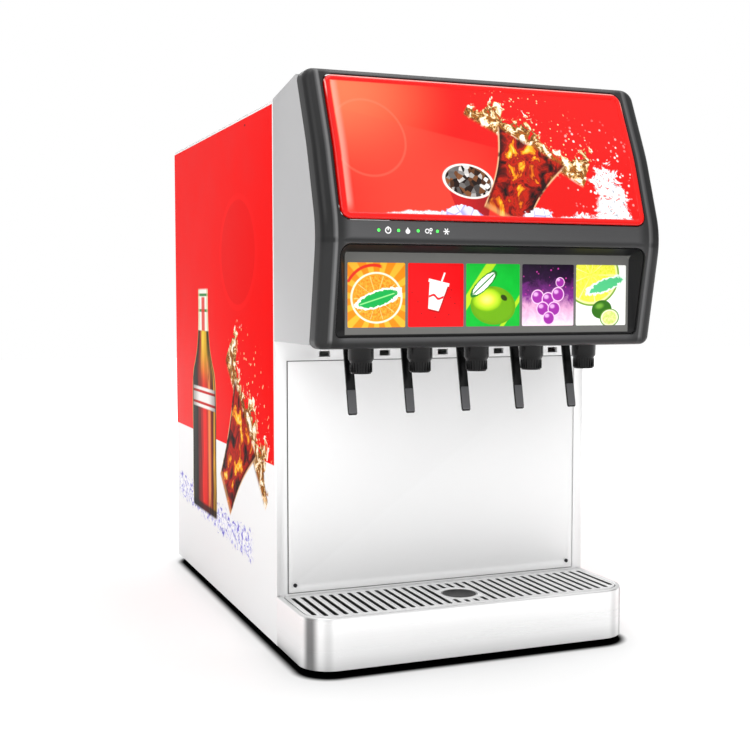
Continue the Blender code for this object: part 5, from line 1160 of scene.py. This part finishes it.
def grow(name, tree, values, body, slot, nodes=()):
    """Evaluates a geometry tree into a plain, placed piece."""
    piece = bpy.data.objects.new(name, bpy.data.meshes.new(name + "_seed"))
    bpy.context.scene.collection.objects.link(piece)
    grown = piece.modifiers.new("Repeat", "NODES")
    grown.node_group = tree
    identifiers = {
        item.name: item.identifier
        for item in tree.interface.items_tree if item.in_out == "INPUT"
    }
    for label, value in values.items():
        grown[identifiers[label]] = value
    shown = piece.evaluated_get(bpy.context.evaluated_depsgraph_get())
    mesh = bpy.data.meshes.new_from_object(shown)
    piece.modifiers.clear()
    piece.data = mesh
    if not mesh.polygons:
        raise RuntimeError(f"{name} came out empty")
    mesh.shade_smooth()
    mesh.set_sharp_from_angle(angle=math.radians(35))
    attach(piece, body)
    if nodes:
        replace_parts(piece, *nodes)
    return piece


# ---------------------------------------------------------------- sizes and colours


def length(name, description, default, least):
    return FloatProperty(
        name=name, description=description, default=default, min=least, unit="LENGTH", subtype="DISTANCE"
    )


def tint(name, description, code):
    return FloatVectorProperty(
        name=name, description=description, default=shade(code), min=0, max=1, subtype="COLOR"
    )


class DispenserLook(bpy.types.PropertyGroup):
    """Sizes and colours that a user would change."""

    fascia_edge: length("Fascia edge radius", "Roundness of the fascia's outer edge", 0.009, 0.001)
    fascia_corner: length("Fascia corner radius", "Upper corners of the fascia", 0.015, 0.002)
    lens_border: length("Lens border", "Width of the header lens's raised border", 0.0070, 0.002)
    tray_corner: length("Tray corner radius", "Front corners of the drip tray", 0.038, 0.005)
    rib_count: IntProperty(
        name="Nozzle ribs", description="Grip ribs round each nozzle", default=22, min=6, max=60
    )
    fascia_grey: tint("Fascia", "Colour of the fascia moulding", "505051")
    shell_grey: tint("Head shell", "Colour of the head housing", "B4B4B5")
    lever_black: tint("Lever", "Colour of the levers and nozzles", "101011")
    paddle_grey: tint("Paddle", "Colour of the lever paddles", "5C5C5E")
    fascia_gloss: FloatProperty(
        name="Fascia roughness",
        description="Roughness of the fascia moulding",
        default=0.38,
        min=0.05,
        max=1,
        subtype="FACTOR",
    )


def the_look():
    return bpy.context.scene.dispenser_look


# ---------------------------------------------------------------- operators


def lever_black_in_shade():
    """The lever colour darkened by painted shade, as it looks in the shade under the head."""
    return tuple(c * UNDER_HEAD_SHADE for c in the_look().lever_black)


class PieceOperator:
    """What every building step shares."""

    bl_options = {"REGISTER", "UNDO"}

    def execute(self, context):
        self.build(context)
        return {"FINISHED"}


class DISPENSER_OT_cabinet(PieceOperator, bpy.types.Operator):
    """Panels, cover, frame, pan and feet of the cabinet"""

    bl_idname = "dispenser.cabinet"
    bl_label = "Cabinet"

    def build(self, context):
        look = the_look()
        steel = plain_metal(
            "frame_steel",
            shade("F8F8F8"),
            0.42,
            (900, 30, 3),
            0.10,
            metallic=0.3,
            gap_shade_box=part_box("splash_plate"),
        )
        white = moulded("cover_white", shade("E4E4E4"), 0.34, wear=0.03)
        shell = moulded("head_shell_grey", tuple(look.shell_grey), 0.36, wear=0.05)
        soften("left_side_panel", side_print("left_side_panel", -1.0), 0.5 * MM)
        soften("right_side_panel", side_print("right_side_panel", 1.0), 0.5 * MM)
        soften("rear_panel", white, 0.3 * MM)
        soften("top_cover", white, 0.6 * MM)
        soften("head_housing", shell, 1.0 * MM, 3)
        soften("front_frame", steel, 0.35 * MM)
        soften(
            "base_pan",
            plain_metal("pan_galvanised", shade("B4B8BA"), 0.42, (20, 20, 60), 0.2, dirt=0.10),
            0.4 * MM,
        )
        rubber = moulded("foot_rubber", shade("121212"), 0.75, 0.0002, 1500.0)
        for i in range(1, 5):
            soften(f"foot_{i}", rubber, 0.6 * MM)


class DISPENSER_OT_fascia(PieceOperator, bpy.types.Operator):
    """Moulded fascia with its lens and card windows"""

    bl_idname = "dispenser.fascia"
    bl_label = "Fascia"

    def build(self, context):
        look = the_look()
        bm = bmesh.new()
        a, b = FASCIA_LOW, FASCIA_HIGH
        edge = look.fascia_edge
        profile = [(0.0, 0.0245), (0.0, 0.018)]
        for i in range(8):
            t = math.radians(90 * i / 7)
            profile.append((edge * (1 - math.cos(t)), edge * (1 - math.sin(t))))
        rings = []
        for inset, depth in profile:
            top = inset * 0.55
            points = outline(
                a.x + inset,
                b.x - inset,
                a.z + inset * 0.9,
                b.z - top,
                max(look.fascia_corner - inset, 0.004),
                max(0.010 - inset, 0.0015),
            )
            rings.append(ring(bm, points, depth))
        loft(bm, rings)
        lens_low, lens_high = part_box("lightbox_lens")
        gap = 0.0014
        holes = []
        windows = (
            outline(
                lens_low.x - gap, lens_high.x + gap, lens_low.z - gap, lens_high.z + gap, 0.0134, 0.0134,
            ),
            outline(*FASCIA_WINDOW),
        )
        for points in windows:
            middle_x = sum(p[0] for p in points) / len(points)
            middle_z = sum(p[1] for p in points) / len(points)
            wide = max(p[0] for p in points) - middle_x
            tall = max(p[1] for p in points) - middle_z
            loops = []
            for out, depth in ((0.0008, 0.0), (0.0003, 0.0002), (0.0, 0.0008), (0.0, 0.0060)):
                grown = [
                    (
                        middle_x + (x - middle_x) * (1 + out / wide),
                        middle_z + (z - middle_z) * (1 + out / tall),
                    )
                    for x, z in points
                ]
                loops.append(ring(bm, grown, depth))
            loft(bm, loops)
            holes.append(loops[0])
        fill_between(bm, rings[-1], holes)
        drape(bm)
        finish_piece(
            "fascia_moulding",
            bm,
            "cabinet",
            SLOT_OF["fascia_bezel"],
            fascia_plastic(),
            ["fascia_bezel"],
            wall=0.0022,
            smooth=30,
        )


class DISPENSER_OT_lens(PieceOperator, bpy.types.Operator):
    """Lit header lens with a raised border"""

    bl_idname = "dispenser.lens"
    bl_label = "Header lens"

    def build(self, context):
        border = the_look().lens_border
        bm = bmesh.new()
        a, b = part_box("lightbox_lens")
        profile = [
            (0.0, 0.0035), (0.0, 0.0002), (0.0002, -0.0007), (0.0008, -0.0014), (0.0018, -0.0019),
            (border * 0.45, -0.0022), (border * 0.75, -0.0020), (border * 0.95, -0.0014),
            (border, -0.0011), (border * 1.2, -0.0010),
        ]
        rings = []
        for inset, depth in profile:
            corner = max(0.012 - inset, 0.004)
            points = outline(a.x + inset, b.x - inset, a.z + inset, b.z - inset, corner, corner)
            rings.append(ring(bm, points, depth))
        loft(bm, rings)
        fill_between(bm, rings[-1])
        fill_between(bm, rings[0])
        drape(bm)
        finish_piece(
            "header_lens",
            bm,
            "cabinet",
            SLOT_OF["lightbox_lens"],
            lens_print(),
            ["lightbox_lens"],
            smooth=50,
        )


def card_tray_plastic():
    """Grey tray floor with painted shade making the walls round it near-black."""
    p = Paint("card_tray_grey")
    _, x1, z0, z1, _, _ = CARD_FLOOR
    x, _, z = p.axes()
    cloud = p.noise(20.0, 3.0)
    # painted shade: the walls of the recess nearly black
    across = (abs(x) - (x1 - 0.0008)).step(0.0, 0.0008)
    up = (abs(z - (z0 + z1) / 2) - ((z1 - z0) / 2 - 0.0006)).step(0.0, 0.0008)
    grey = p.mix(cloud, "646462", "6E6E6B")
    colour = p.mix(across.most(up), grey, "141415")
    return p.surface(
        base_color=colour,
        roughness=0.42 + cloud * 0.06,
        specular_ior_level=0.18,
        normal=p.bump(p.noise(800.0, 2.0), 0.00005, 0.4),
    )


class DISPENSER_OT_cards(PieceOperator, bpy.types.Operator):
    """Recessed card tray and the five flavour cards"""

    bl_idname = "dispenser.cards"
    bl_label = "Flavour cards"

    def build(self, context):
        bm = bmesh.new()
        floor_y = low("flavour_card_1").y + 0.0015

        def part(t):
            values = [w + (f - w) * t for w, f in zip(CARD_WINDOW, CARD_FLOOR)]
            return outline(*values)

        rings = [
            ring(bm, part(0.0), lambda x, z: face_y(z) + 0.0030),
            ring(bm, part(0.04), lambda x, z: face_y(z) + 0.0040),
        ]
        for t, share in ((0.90, 0.90), (0.97, 0.975), (1.0, 1.0)):

            def depth(x, z, share=share):
                return (face_y(z) + 0.004) * (1 - share) + floor_y * share

            rings.append(ring(bm, part(t), depth))
        loft(bm, rings)
        fill_between(bm, rings[-1])
        finish_piece(
            "card_tray",
            bm,
            "cabinet",
            SLOT_OF["label_panel"],
            card_tray_plastic(),
            ["label_panel"],
            wall=0.0014,
            smooth=30,
        )
        for i, make in enumerate((orange_card, cola_card, apple_card, grape_card, lime_card), 1):
            soften(f"flavour_card_{i}", make(), 0.25 * MM)


class DISPENSER_OT_lamps(PieceOperator, bpy.types.Operator):
    """Four green lamps in the fascia"""

    bl_idname = "dispenser.lamps"
    bl_label = "Lamps"

    def build(self, context):
        p = Paint("lamp_green")
        glow = p.noise(900.0, 2.0)
        colour = p.mix(glow, "18E82A", "5CFF6A")
        green = p.surface(base_color=colour, roughness=0.2, emission_color=colour, emission_strength=1.2)
        values = {
            "Count": len(LAMP_X),
            "First": (LAMP_X[0], face_y(LAMP_Z) + 0.0002, LAMP_Z),
            "Step": (LAMP_PITCH, 0, 0),
            "Radius": 0.0017,
            "Flatten": (1.0, 0.45, 1.0),
            "Material": green,
        }
        grow("lamp_domes", dome_tree(), values, "cabinet", SLOT_OF["indicator_board"])
        dress("indicator_board", green)


class DISPENSER_OT_nozzles(PieceOperator, bpy.types.Operator):
    """Five turned nozzles with grip ribs"""

    bl_idname = "dispenser.nozzles"
    bl_label = "Nozzles"

    def build(self, context):
        look = the_look()
        black = moulded(
            "nozzle_black", lever_black_in_shade(), 0.26, wear=0.2, gloss=0.22,
        )
        ribs = ring_tree()
        for i in range(1, 6):
            node = f"nozzle_{i}"
            a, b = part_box(node)
            x = (a.x + b.x) / 2
            r = (b.x - a.x) / 2
            y = a.y + r
            tip = a.z
            bm = bmesh.new()
            profile = [
                (0.0004, tip + 0.011),
                (0.0075, tip + 0.011),
                (0.0075, tip + 0.0006),
                (0.0079, tip),
                (r * 0.76, tip),
                (r * 0.79, tip + 0.0006),
                (r * 0.86, tip + 0.0135),
                (r - 0.0008, tip + 0.0155),
                (r, tip + 0.0168),
                (r, b.z - 0.001),
                (r - 0.001, b.z),
                (0.0004, b.z),
            ]
            lathe(bm, profile, (x, y), SEGMENTS_ROUND_NOZZLE)
            for z in (profile[0][1], profile[-1][1]):
                level = [v for v in bm.verts if abs(v.co.z - z) < 1e-7]
                bm.faces.new([v for v in level if math.hypot(v.co.x - x, v.co.y - y) < 0.0006])
            finish_piece(f"nozzle_body_{i}", bm, BODY_OF[node], SLOT_OF[node], black, [node])
            values = {
                "Count": look.rib_count,
                "Radius": r * 0.835,
                "Size": (0.0012, 0.0009, 0.0105),
                "Middle": (x, y, tip + 0.0070),
                "Material": black,
            }
            grow(f"nozzle_ribs_{i}", ribs, values, BODY_OF[node], SLOT_OF[node])
        body = moulded("valve_black", shade("1C1C1E"), 0.36, wear=0.15)
        for i in range(1, 6):
            soften(f"valve_body_{i}", body, 0.4 * MM)
        soften(
            "valve_rail",
            plain_metal("rail_galvanised", shade("A8ACAE"), 0.40, (30, 30, 60), 0.15),
            0.4 * MM,
        )


class DISPENSER_OT_levers(PieceOperator, bpy.types.Operator):
    """Five push levers with grey paddles"""

    bl_idname = "dispenser.levers"
    bl_label = "Levers"

    def build(self, context):
        look = the_look()
        black = moulded(
            "lever_black", lever_black_in_shade(), 0.20, 0.00002, wear=0.2, gloss=0.22,
        )
        grey = moulded("paddle_grey", tuple(look.paddle_grey), 0.40, 0.00008, 500.0, wear=0.12)
        down = Vector((0, -math.sin(LEVER_LEAN), -math.cos(LEVER_LEAN)))
        front = Vector((0, -math.cos(LEVER_LEAN), math.sin(LEVER_LEAN)))
        for i in range(1, 6):
            node = f"lever_{i}"
            a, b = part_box(node)
            x = (a.x + b.x) / 2
            pivot = Vector((x, LEVER_PIVOT_Y, b.z - LEVER_PIVOT_DROP))

            def section(bm, along, wide, thick, forward=0.0, power=0.5):
                loop = []
                for k in range(20):
                    t = 2 * math.pi * k / 20
                    c, s = math.cos(t), math.sin(t)
                    u = wide / 2 * math.copysign(abs(c) ** power, c)
                    w = thick / 2 * math.copysign(abs(s) ** power, s)
                    place = pivot + down * along + Vector((u, 0, 0)) + front * (w + forward)
                    loop.append(bm.verts.new(place))
                return loop

            bm = bmesh.new()
            shape = [
                (0.0, 9.0, 4.4), (3.0, 11.2, 4.8), (40.0, 11.1, 4.6), (70.0, 11.0, 4.4),
                (72.0, 11.4, 4.0), (96.0, 11.2, 3.6), (99.4, 10.9, 3.4), (100.8, 10.0, 2.8),
                (101.4, 8.6, 1.8),
            ]
            rings = [section(bm, s * MM, w * MM, t * MM, power=0.28) for s, w, t in shape]
            capped(bm, rings)
            hub = []
            for off, r in ((-0.0065, 0.0040), (-0.0060, 0.0048), (0.0060, 0.0048), (0.0065, 0.0040)):
                turns = [2 * math.pi * k / 32 for k in range(32)]
                points = [Vector((off, r * math.cos(t), r * math.sin(t))) for t in turns]
                hub.append([bm.verts.new(pivot + point) for point in points])
            capped(bm, hub)
            finish_piece(f"lever_arm_{i}", bm, BODY_OF[node], SLOT_OF[node], black, [node])
            bm = bmesh.new()
            pad = [
                (71.5, 8.0, 0.8), (72.0, 10.0, 1.6), (73.0, 10.6, 2.0), (97.0, 10.4, 2.0),
                (99.0, 10.0, 1.7), (99.8, 8.4, 0.9),
            ]
            rings = [section(bm, s * MM, w * MM, t * MM, 0.0013, 0.24) for s, w, t in pad]
            capped(bm, rings)
            finish_piece(f"lever_paddle_{i}", bm, BODY_OF[node], SLOT_OF["head_housing"], grey)


class DISPENSER_OT_splash(PieceOperator, bpy.types.Operator):
    """Brushed splash plate and its two screws"""

    bl_idname = "dispenser.splash"
    bl_label = "Splash plate"

    def build(self, context):
        steel = plain_metal(
            "splash_steel", shade("FAFAFA"), 0.50, (900, 900, 4), 0.08, metallic=0.12, dirt=0.010,
        )
        soften("splash_plate", steel, 0.3 * MM)
        dark = plain_metal("screw_dark", shade("3A3A3C"), 0.35, (200, 200, 200), 0.1)
        a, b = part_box("splash_screw_left")
        c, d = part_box("splash_screw_right")
        left = Vector(((a.x + b.x) / 2, a.y + 0.0006, (a.z + b.z) / 2))
        right = Vector(((c.x + d.x) / 2, c.y + 0.0006, (c.z + d.z) / 2))
        values = {
            "Count": 2,
            "First": left,
            "Step": right - left,
            "Radius": 0.0024,
            "Height": 0.0016,
            "Material": dark,
        }
        grow(
            "splash_screws",
            screw_tree(),
            values,
            "cabinet",
            SLOT_OF["splash_screw_left"],
            ["splash_screw_left", "splash_screw_right"],
        )


def tray_steel(a, b, corner):
    """Brushed steel with painted dark reflections round the two front corners and painted shade low on the
    wall and inside under the grille.
    """
    p = Paint("tray_steel")
    x, y, z = p.axes()
    grain = p.noise(1.0, 4.0, 0.6, p.local(p.position(), size=(0.4, 0.4, 0.001)))
    across = abs(x) - (b.x - corner)
    ahead = (a.y + corner) - y
    angle = p.maths_of("ARCTAN2", across.most(0.0001), ahead.most(0.0001))
    round_part = across.step(0.0, 0.001) * ahead.step(0.0, 0.001)
    # painted reflection: dark streaks on the rounded front corners
    streak = abs(angle - 0.95).step(0.34, 0.06) * round_part
    faint_reflection = abs(angle - 0.35).step(0.22, 0.02) * round_part * 0.25
    upright = z.step(b.z - 0.0005, b.z - 0.0030)
    colour = p.mix(grain, "ECECEC", "F4F4F4")
    colour = p.mix(streak.most(faint_reflection) * upright * 0.85, colour, "505051")
    # painted shade: darker towards the bottom of the wall
    colour = p.mix(z.step(a.z + 0.022, a.z) * 0.25, colour, "909090")
    # painted shade: the inside of the tray below the grille darker than bare steel
    reach = p.span(p.flat(across.most(0.0), ahead.most(0.0)), (0.0, 0.0), (1.0, 1.0))
    inside = reach.below(corner - 0.0045, 0.0005) * z.below(high("drip_grille").z - 0.0012, 0.0004)
    colour = p.mix(inside * 0.85, colour, "383838")
    return p.surface(
        base_color=colour,
        metallic=0.85,
        roughness=0.24 + grain * 0.10,
        normal=p.bump(grain, 0.00004, 0.35),
    )


def grille_steel():
    """Bright plate with shaded slot walls."""
    p = Paint("grille_steel")
    _, _, z = p.axes()
    grain = p.noise(1.0, 4.0, 0.6, p.local(p.position(), size=(0.2, 0.001, 0.2)))
    colour = p.mix(grain, "F2F2F2", "FAFAFA")
    depth = z.below(high("drip_grille").z - 0.0007, 0.0002)
    colour = p.mix(depth * 0.9, colour, "101010")
    return p.surface(
        base_color=colour,
        metallic=0.45,
        roughness=0.32 + grain * 0.08,
        normal=p.bump(grain, 0.00004, 0.35),
    )


class DISPENSER_OT_tray(PieceOperator, bpy.types.Operator):
    """Drip tray with a rolled rim, its grille and the drain strainer"""

    bl_idname = "dispenser.tray"
    bl_label = "Drip tray"

    def build(self, context):
        a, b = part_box("drip_tray")
        corner = the_look().tray_corner
        bm = bmesh.new()

        def level(inset, z):
            x0, x1 = a.x + inset, b.x - inset
            y0, y1 = a.y + inset, b.y - inset
            r = max(corner - inset, 0.002)
            points = [(x1, y1)]
            points += [(x1, y1 + (y0 + r - y1) * k / 6) for k in range(1, 6)]
            turns = [math.radians(t) for t in range(0, 91, 5)]
            points += [(x1 - r + r * math.cos(-t), y0 + r + r * math.sin(-t)) for t in turns]
            points += [(x1 - r + (x0 + r - x1 + r) * k / 10, y0) for k in range(1, 10)]
            points += [(x0 + r - r * math.sin(t), y0 + r - r * math.cos(t)) for t in turns]
            points += [(x0, y0 + r + (y1 - y0 - r) * k / 6) for k in range(1, 6)]
            points += [(x0, y1)]
            return [bm.verts.new((x, y, z)) for x, y in points]

        bottom, top = a.z, b.z
        profile = [
            (0.0012, bottom),
            (0.0003, bottom + 0.0003),
            (0.0, bottom + 0.0012),
            (0.0, top - 0.0024),
            (0.0003, top - 0.0011),
            (0.0010, top - 0.0003),
            (0.0020, top),
            (0.0050, top),
            (0.0056, top - 0.0003),
            (0.0060, top - 0.0010),
            (0.0060, top - 0.0032),
            (0.0108, top - 0.0032),
            (0.0112, top - 0.0036),
            (0.0113, bottom + 0.0070),
            (0.0122, bottom + 0.0048),
            (0.0150, bottom + 0.0040),
        ]
        rings = [level(inset, z) for inset, z in profile]
        capped(bm, rings)
        steel = tray_steel(a, b, corner)
        finish_piece(
            "drip_tray_shell", bm, "cabinet", SLOT_OF["drip_tray"], steel, ["drip_tray"], smooth=40,
        )
        soften("drip_grille", grille_steel(), 0.25 * MM, 1)
        p = Paint("strainer_finish")
        lo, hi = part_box("drain_strainer")
        x, y, _ = p.axes()
        from_middle = p.flat(x - (lo.x + hi.x) / 2, y - (lo.y + hi.y) / 2)
        reach = p.span(from_middle, (0.0, 0.0), (1.0, 1.0))
        rim = reach.above((hi.x - lo.x) / 2 - 0.0010, 0.0003)
        grain = p.noise(300.0, 3.0)
        strainer = p.surface(
            base_color=p.mix(rim, p.mix(grain, "0C0C0C", "1C1C1C"), "C8C8C8"),
            metallic=rim,
            roughness=0.55 - rim * 0.25,
            normal=p.bump(grain, 0.00005, 0.3),
        )
        soften("drain_strainer", strainer, 0.3 * MM)


class DISPENSER_OT_works(PieceOperator, bpy.types.Operator):
    """Finishes of the cooling deck, water parts and rear connections"""

    bl_idname = "dispenser.works"
    bl_label = "Inner works"

    def build(self, context):
        finishes = {
            "galvanised": plain_metal(
                "sheet_galvanised", shade("AEB2B4"), 0.42, (25, 25, 40), 0.2, dirt=0.10,
            ),
            "aluminium": plain_metal("condenser_aluminium", shade("D6D8DA"), 0.34, (900, 20, 20), 0.15),
            "copper": plain_metal("coil_copper", shade("C77B4E"), 0.28, (60, 60, 60), 0.15, dirt=0.12),
            "brass": plain_metal("spigot_brass", shade("C9A45A"), 0.26, (120, 120, 120), 0.12, dirt=0.08),
            "black_enamel": moulded("compressor_enamel", shade("151517"), 0.28, 0.00008, 400.0),
            "tank_white": moulded("tank_white", shade("E6E8E8"), 0.40, 0.00006, 500.0, 0.05),
            "black_plastic": moulded("works_black", shade("1B1B1C"), 0.42, 0.00008, 700.0),
            "bright_steel": plain_metal("carbonator_steel", shade("DADADA"), 0.25, (8, 8, 300), 0.12),
            "white_paint": moulded("lamp_board_white", shade("F0F0EA"), 0.5, 0.00005, 400.0, 0.05),
        }
        done = {node for o in bpy.context.scene.objects for node in o.get("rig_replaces", [])}
        for node in NODES:
            if node in done or node == "indicator_board":
                continue
            finish = finishes.get(SLOT_OF[node], finishes["white_paint"])
            if node in SOFT_EDGED:
                soften(node, finish, 0.4 * MM)
            else:
                dress(node, finish)
        a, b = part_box("condenser")
        pitch = (b.x - a.x - 2 * FIN_MARGIN) / (FIN_COUNT - 1)
        values = {
            "Count": FIN_COUNT,
            "First": (a.x + FIN_MARGIN, a.y - 0.0006, (a.z + b.z) / 2),
            "Step": (pitch, 0, 0),
            "Size": (0.0006, 0.0012, b.z - a.z - 0.020),
            "Material": finishes["aluminium"],
        }
        grow("condenser_fins", row_tree(), values, "cabinet", SLOT_OF["condenser"])


def paint_sky(p):
    """White to the eye, with a bright front, and dark bands at both sides for the steel to reflect."""
    ray = p.node("ShaderNodeTexCoord", out=0)
    split = p.node("ShaderNodeSeparateXYZ", None, {0: ray})
    x, y, z = (Wire(p, split.socket.node.outputs[i]) for i in range(3))
    level = p.node("ShaderNodeVectorMath", {"operation": "NORMALIZE"}, {0: p.flat(x, y)})

    def lobe(azimuth, inner, outer):
        a = math.radians(azimuth)
        toward = (math.sin(a), -math.cos(a), 0.0)
        dot = p.node("ShaderNodeVectorMath", {"operation": "DOT_PRODUCT"}, {0: level, 1: toward}, out=1)
        return dot.step(math.cos(math.radians(outer)), math.cos(math.radians(inner)))

    near_level = abs(z).below(0.42, 0.16)
    strength = 0.64 + lobe(10, 4, 24) * near_level * 0.60
    strength = strength + z.step(0.2, 0.9) * 0.25
    strength = strength * (1 - lobe(-84, 7, 17) * near_level * 0.92)
    strength = strength * (1 - lobe(76, 8, 20) * near_level * 0.92)
    strength = strength * (1 - lobe(36, 3, 14) * near_level * 0.35)
    seen = p.node("ShaderNodeBackground", None, {0: (1, 1, 1), 1: 1.0})
    lit = p.node("ShaderNodeBackground", None, {0: (1, 1, 1), 1: strength})
    camera_ray = p.node("ShaderNodeLightPath", out=0)
    both = p.node("ShaderNodeMixShader", None, {0: camera_ray, 1: lit, 2: seen})
    end = p.tree.nodes.new("ShaderNodeOutputWorld")
    p.tree.links.new(both.socket, end.inputs[0])


class DISPENSER_OT_stage(PieceOperator, bpy.types.Operator):
    """Floor, studio light and camera"""

    bl_idname = "dispenser.stage"
    bl_label = "Stage"

    def build(self, context):
        scene = context.scene
        scene.view_settings.view_transform = "Standard"
        bpy.ops.mesh.primitive_plane_add(size=FLOOR_SIZE, location=(0, 0, 0))
        floor = context.object
        floor.name = "studio_floor"
        p = Paint("studio_floor")
        x, y, _ = p.axes()
        away = p.span(p.flat(x, y), (0.0, 0.0), (1.0, 1.0))
        tray_low, tray_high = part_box("drip_tray")
        corner = the_look().tray_corner
        across = (abs(x) - (tray_high.x - corner)).most(0.0)
        along = (tray_low.y + corner - y).most(y - (CAD_BOX[1][1] - corner)).most(0.0)
        under = p.span(p.flat(across, along), (0.0, 0.0), (1.0, 1.0)) - corner
        # painted shadow: a near-black patch on the floor under the machine's footprint
        colour = p.mix(under.step(0.012, -0.001), "FCFCFC", "060606")
        # The floor glows more away from the machine, for a white backdrop, and not at all round the painted
        # shadow.
        glow = p.mix(away.step(0.45, 1.5), (0.05, 0.05, 0.05), (0.75, 0.75, 0.75))
        glow = p.mix(under.step(0.06, 0.0), glow, (0.0, 0.0, 0.0))
        floor.data.materials.append(
            p.surface(
                base_color=colour,
                roughness=0.9,
                specular_ior_level=0.0,
                emission_color=glow,
                emission_strength=1.0,
            )
        )
        world = bpy.data.worlds.new("studio_world")
        scene.world = world
        world.use_nodes = True
        paint_sky(Paint("studio_sky", world.node_tree))
        lights = (
            ("key_light", (-1.9, -2.4, 2.6), 2.2, 26.0),
            ("top_light", (0.4, -0.2, 3.2), 2.4, 27.0),
            ("rear_light", (0.6, 3.0, 2.0), 2.0, 18.0),
        )
        target = Vector((0, -0.05, 0.32))
        for name, place, size, power in lights:
            data = bpy.data.lights.new(name, "AREA")
            data.shape = "DISK"
            data.size = size
            data.energy = power
            lamp = bpy.data.objects.new(name, data)
            lamp.location = place
            lamp.rotation_euler = (target - Vector(place)).to_track_quat("-Z", "Y").to_euler()
            scene.collection.objects.link(lamp)
        data = bpy.data.cameras.new("studio_camera")
        data.lens = CAMERA_LENS
        data.sensor_width = CAMERA_SENSOR
        camera = bpy.data.objects.new("studio_camera", data)
        camera.location = CAMERA_PLACE
        camera.rotation_euler = [math.radians(turn) for turn in CAMERA_TURN]
        scene.collection.objects.link(camera)
        scene.camera = camera


STEPS = (
    DISPENSER_OT_cabinet,
    DISPENSER_OT_fascia,
    DISPENSER_OT_lens,
    DISPENSER_OT_cards,
    DISPENSER_OT_lamps,
    DISPENSER_OT_nozzles,
    DISPENSER_OT_levers,
    DISPENSER_OT_splash,
    DISPENSER_OT_tray,
    DISPENSER_OT_works,
    DISPENSER_OT_stage,
)


class DISPENSER_PT_steps(bpy.types.Panel):
    """Lists the building steps and the look settings"""

    bl_idname = "DISPENSER_PT_steps"
    bl_label = "Drinks Dispenser"
    bl_space_type = "VIEW_3D"
    bl_region_type = "UI"
    bl_category = "Dispenser"

    def draw(self, context):
        look = context.scene.dispenser_look
        for name in look.bl_rna.properties.keys():
            if name not in {"rna_type", "name"}:
                self.layout.prop(look, name)
        for step in STEPS:
            self.layout.operator(step.bl_idname)


def register():
    bpy.utils.register_class(DispenserLook)
    for step in STEPS:
        bpy.utils.register_class(step)
    bpy.utils.register_class(DISPENSER_PT_steps)
    bpy.types.Scene.dispenser_look = PointerProperty(type=DispenserLook)


def unregister():
    del bpy.types.Scene.dispenser_look
    bpy.utils.unregister_class(DISPENSER_PT_steps)
    for step in reversed(STEPS):
        bpy.utils.unregister_class(step)
    bpy.utils.unregister_class(DispenserLook)


def main():
    register()
    for step in STEPS:
        group, name = step.bl_idname.split(".")
        getattr(getattr(bpy.ops, group), name)()


if __name__ == "__main__":
    main()
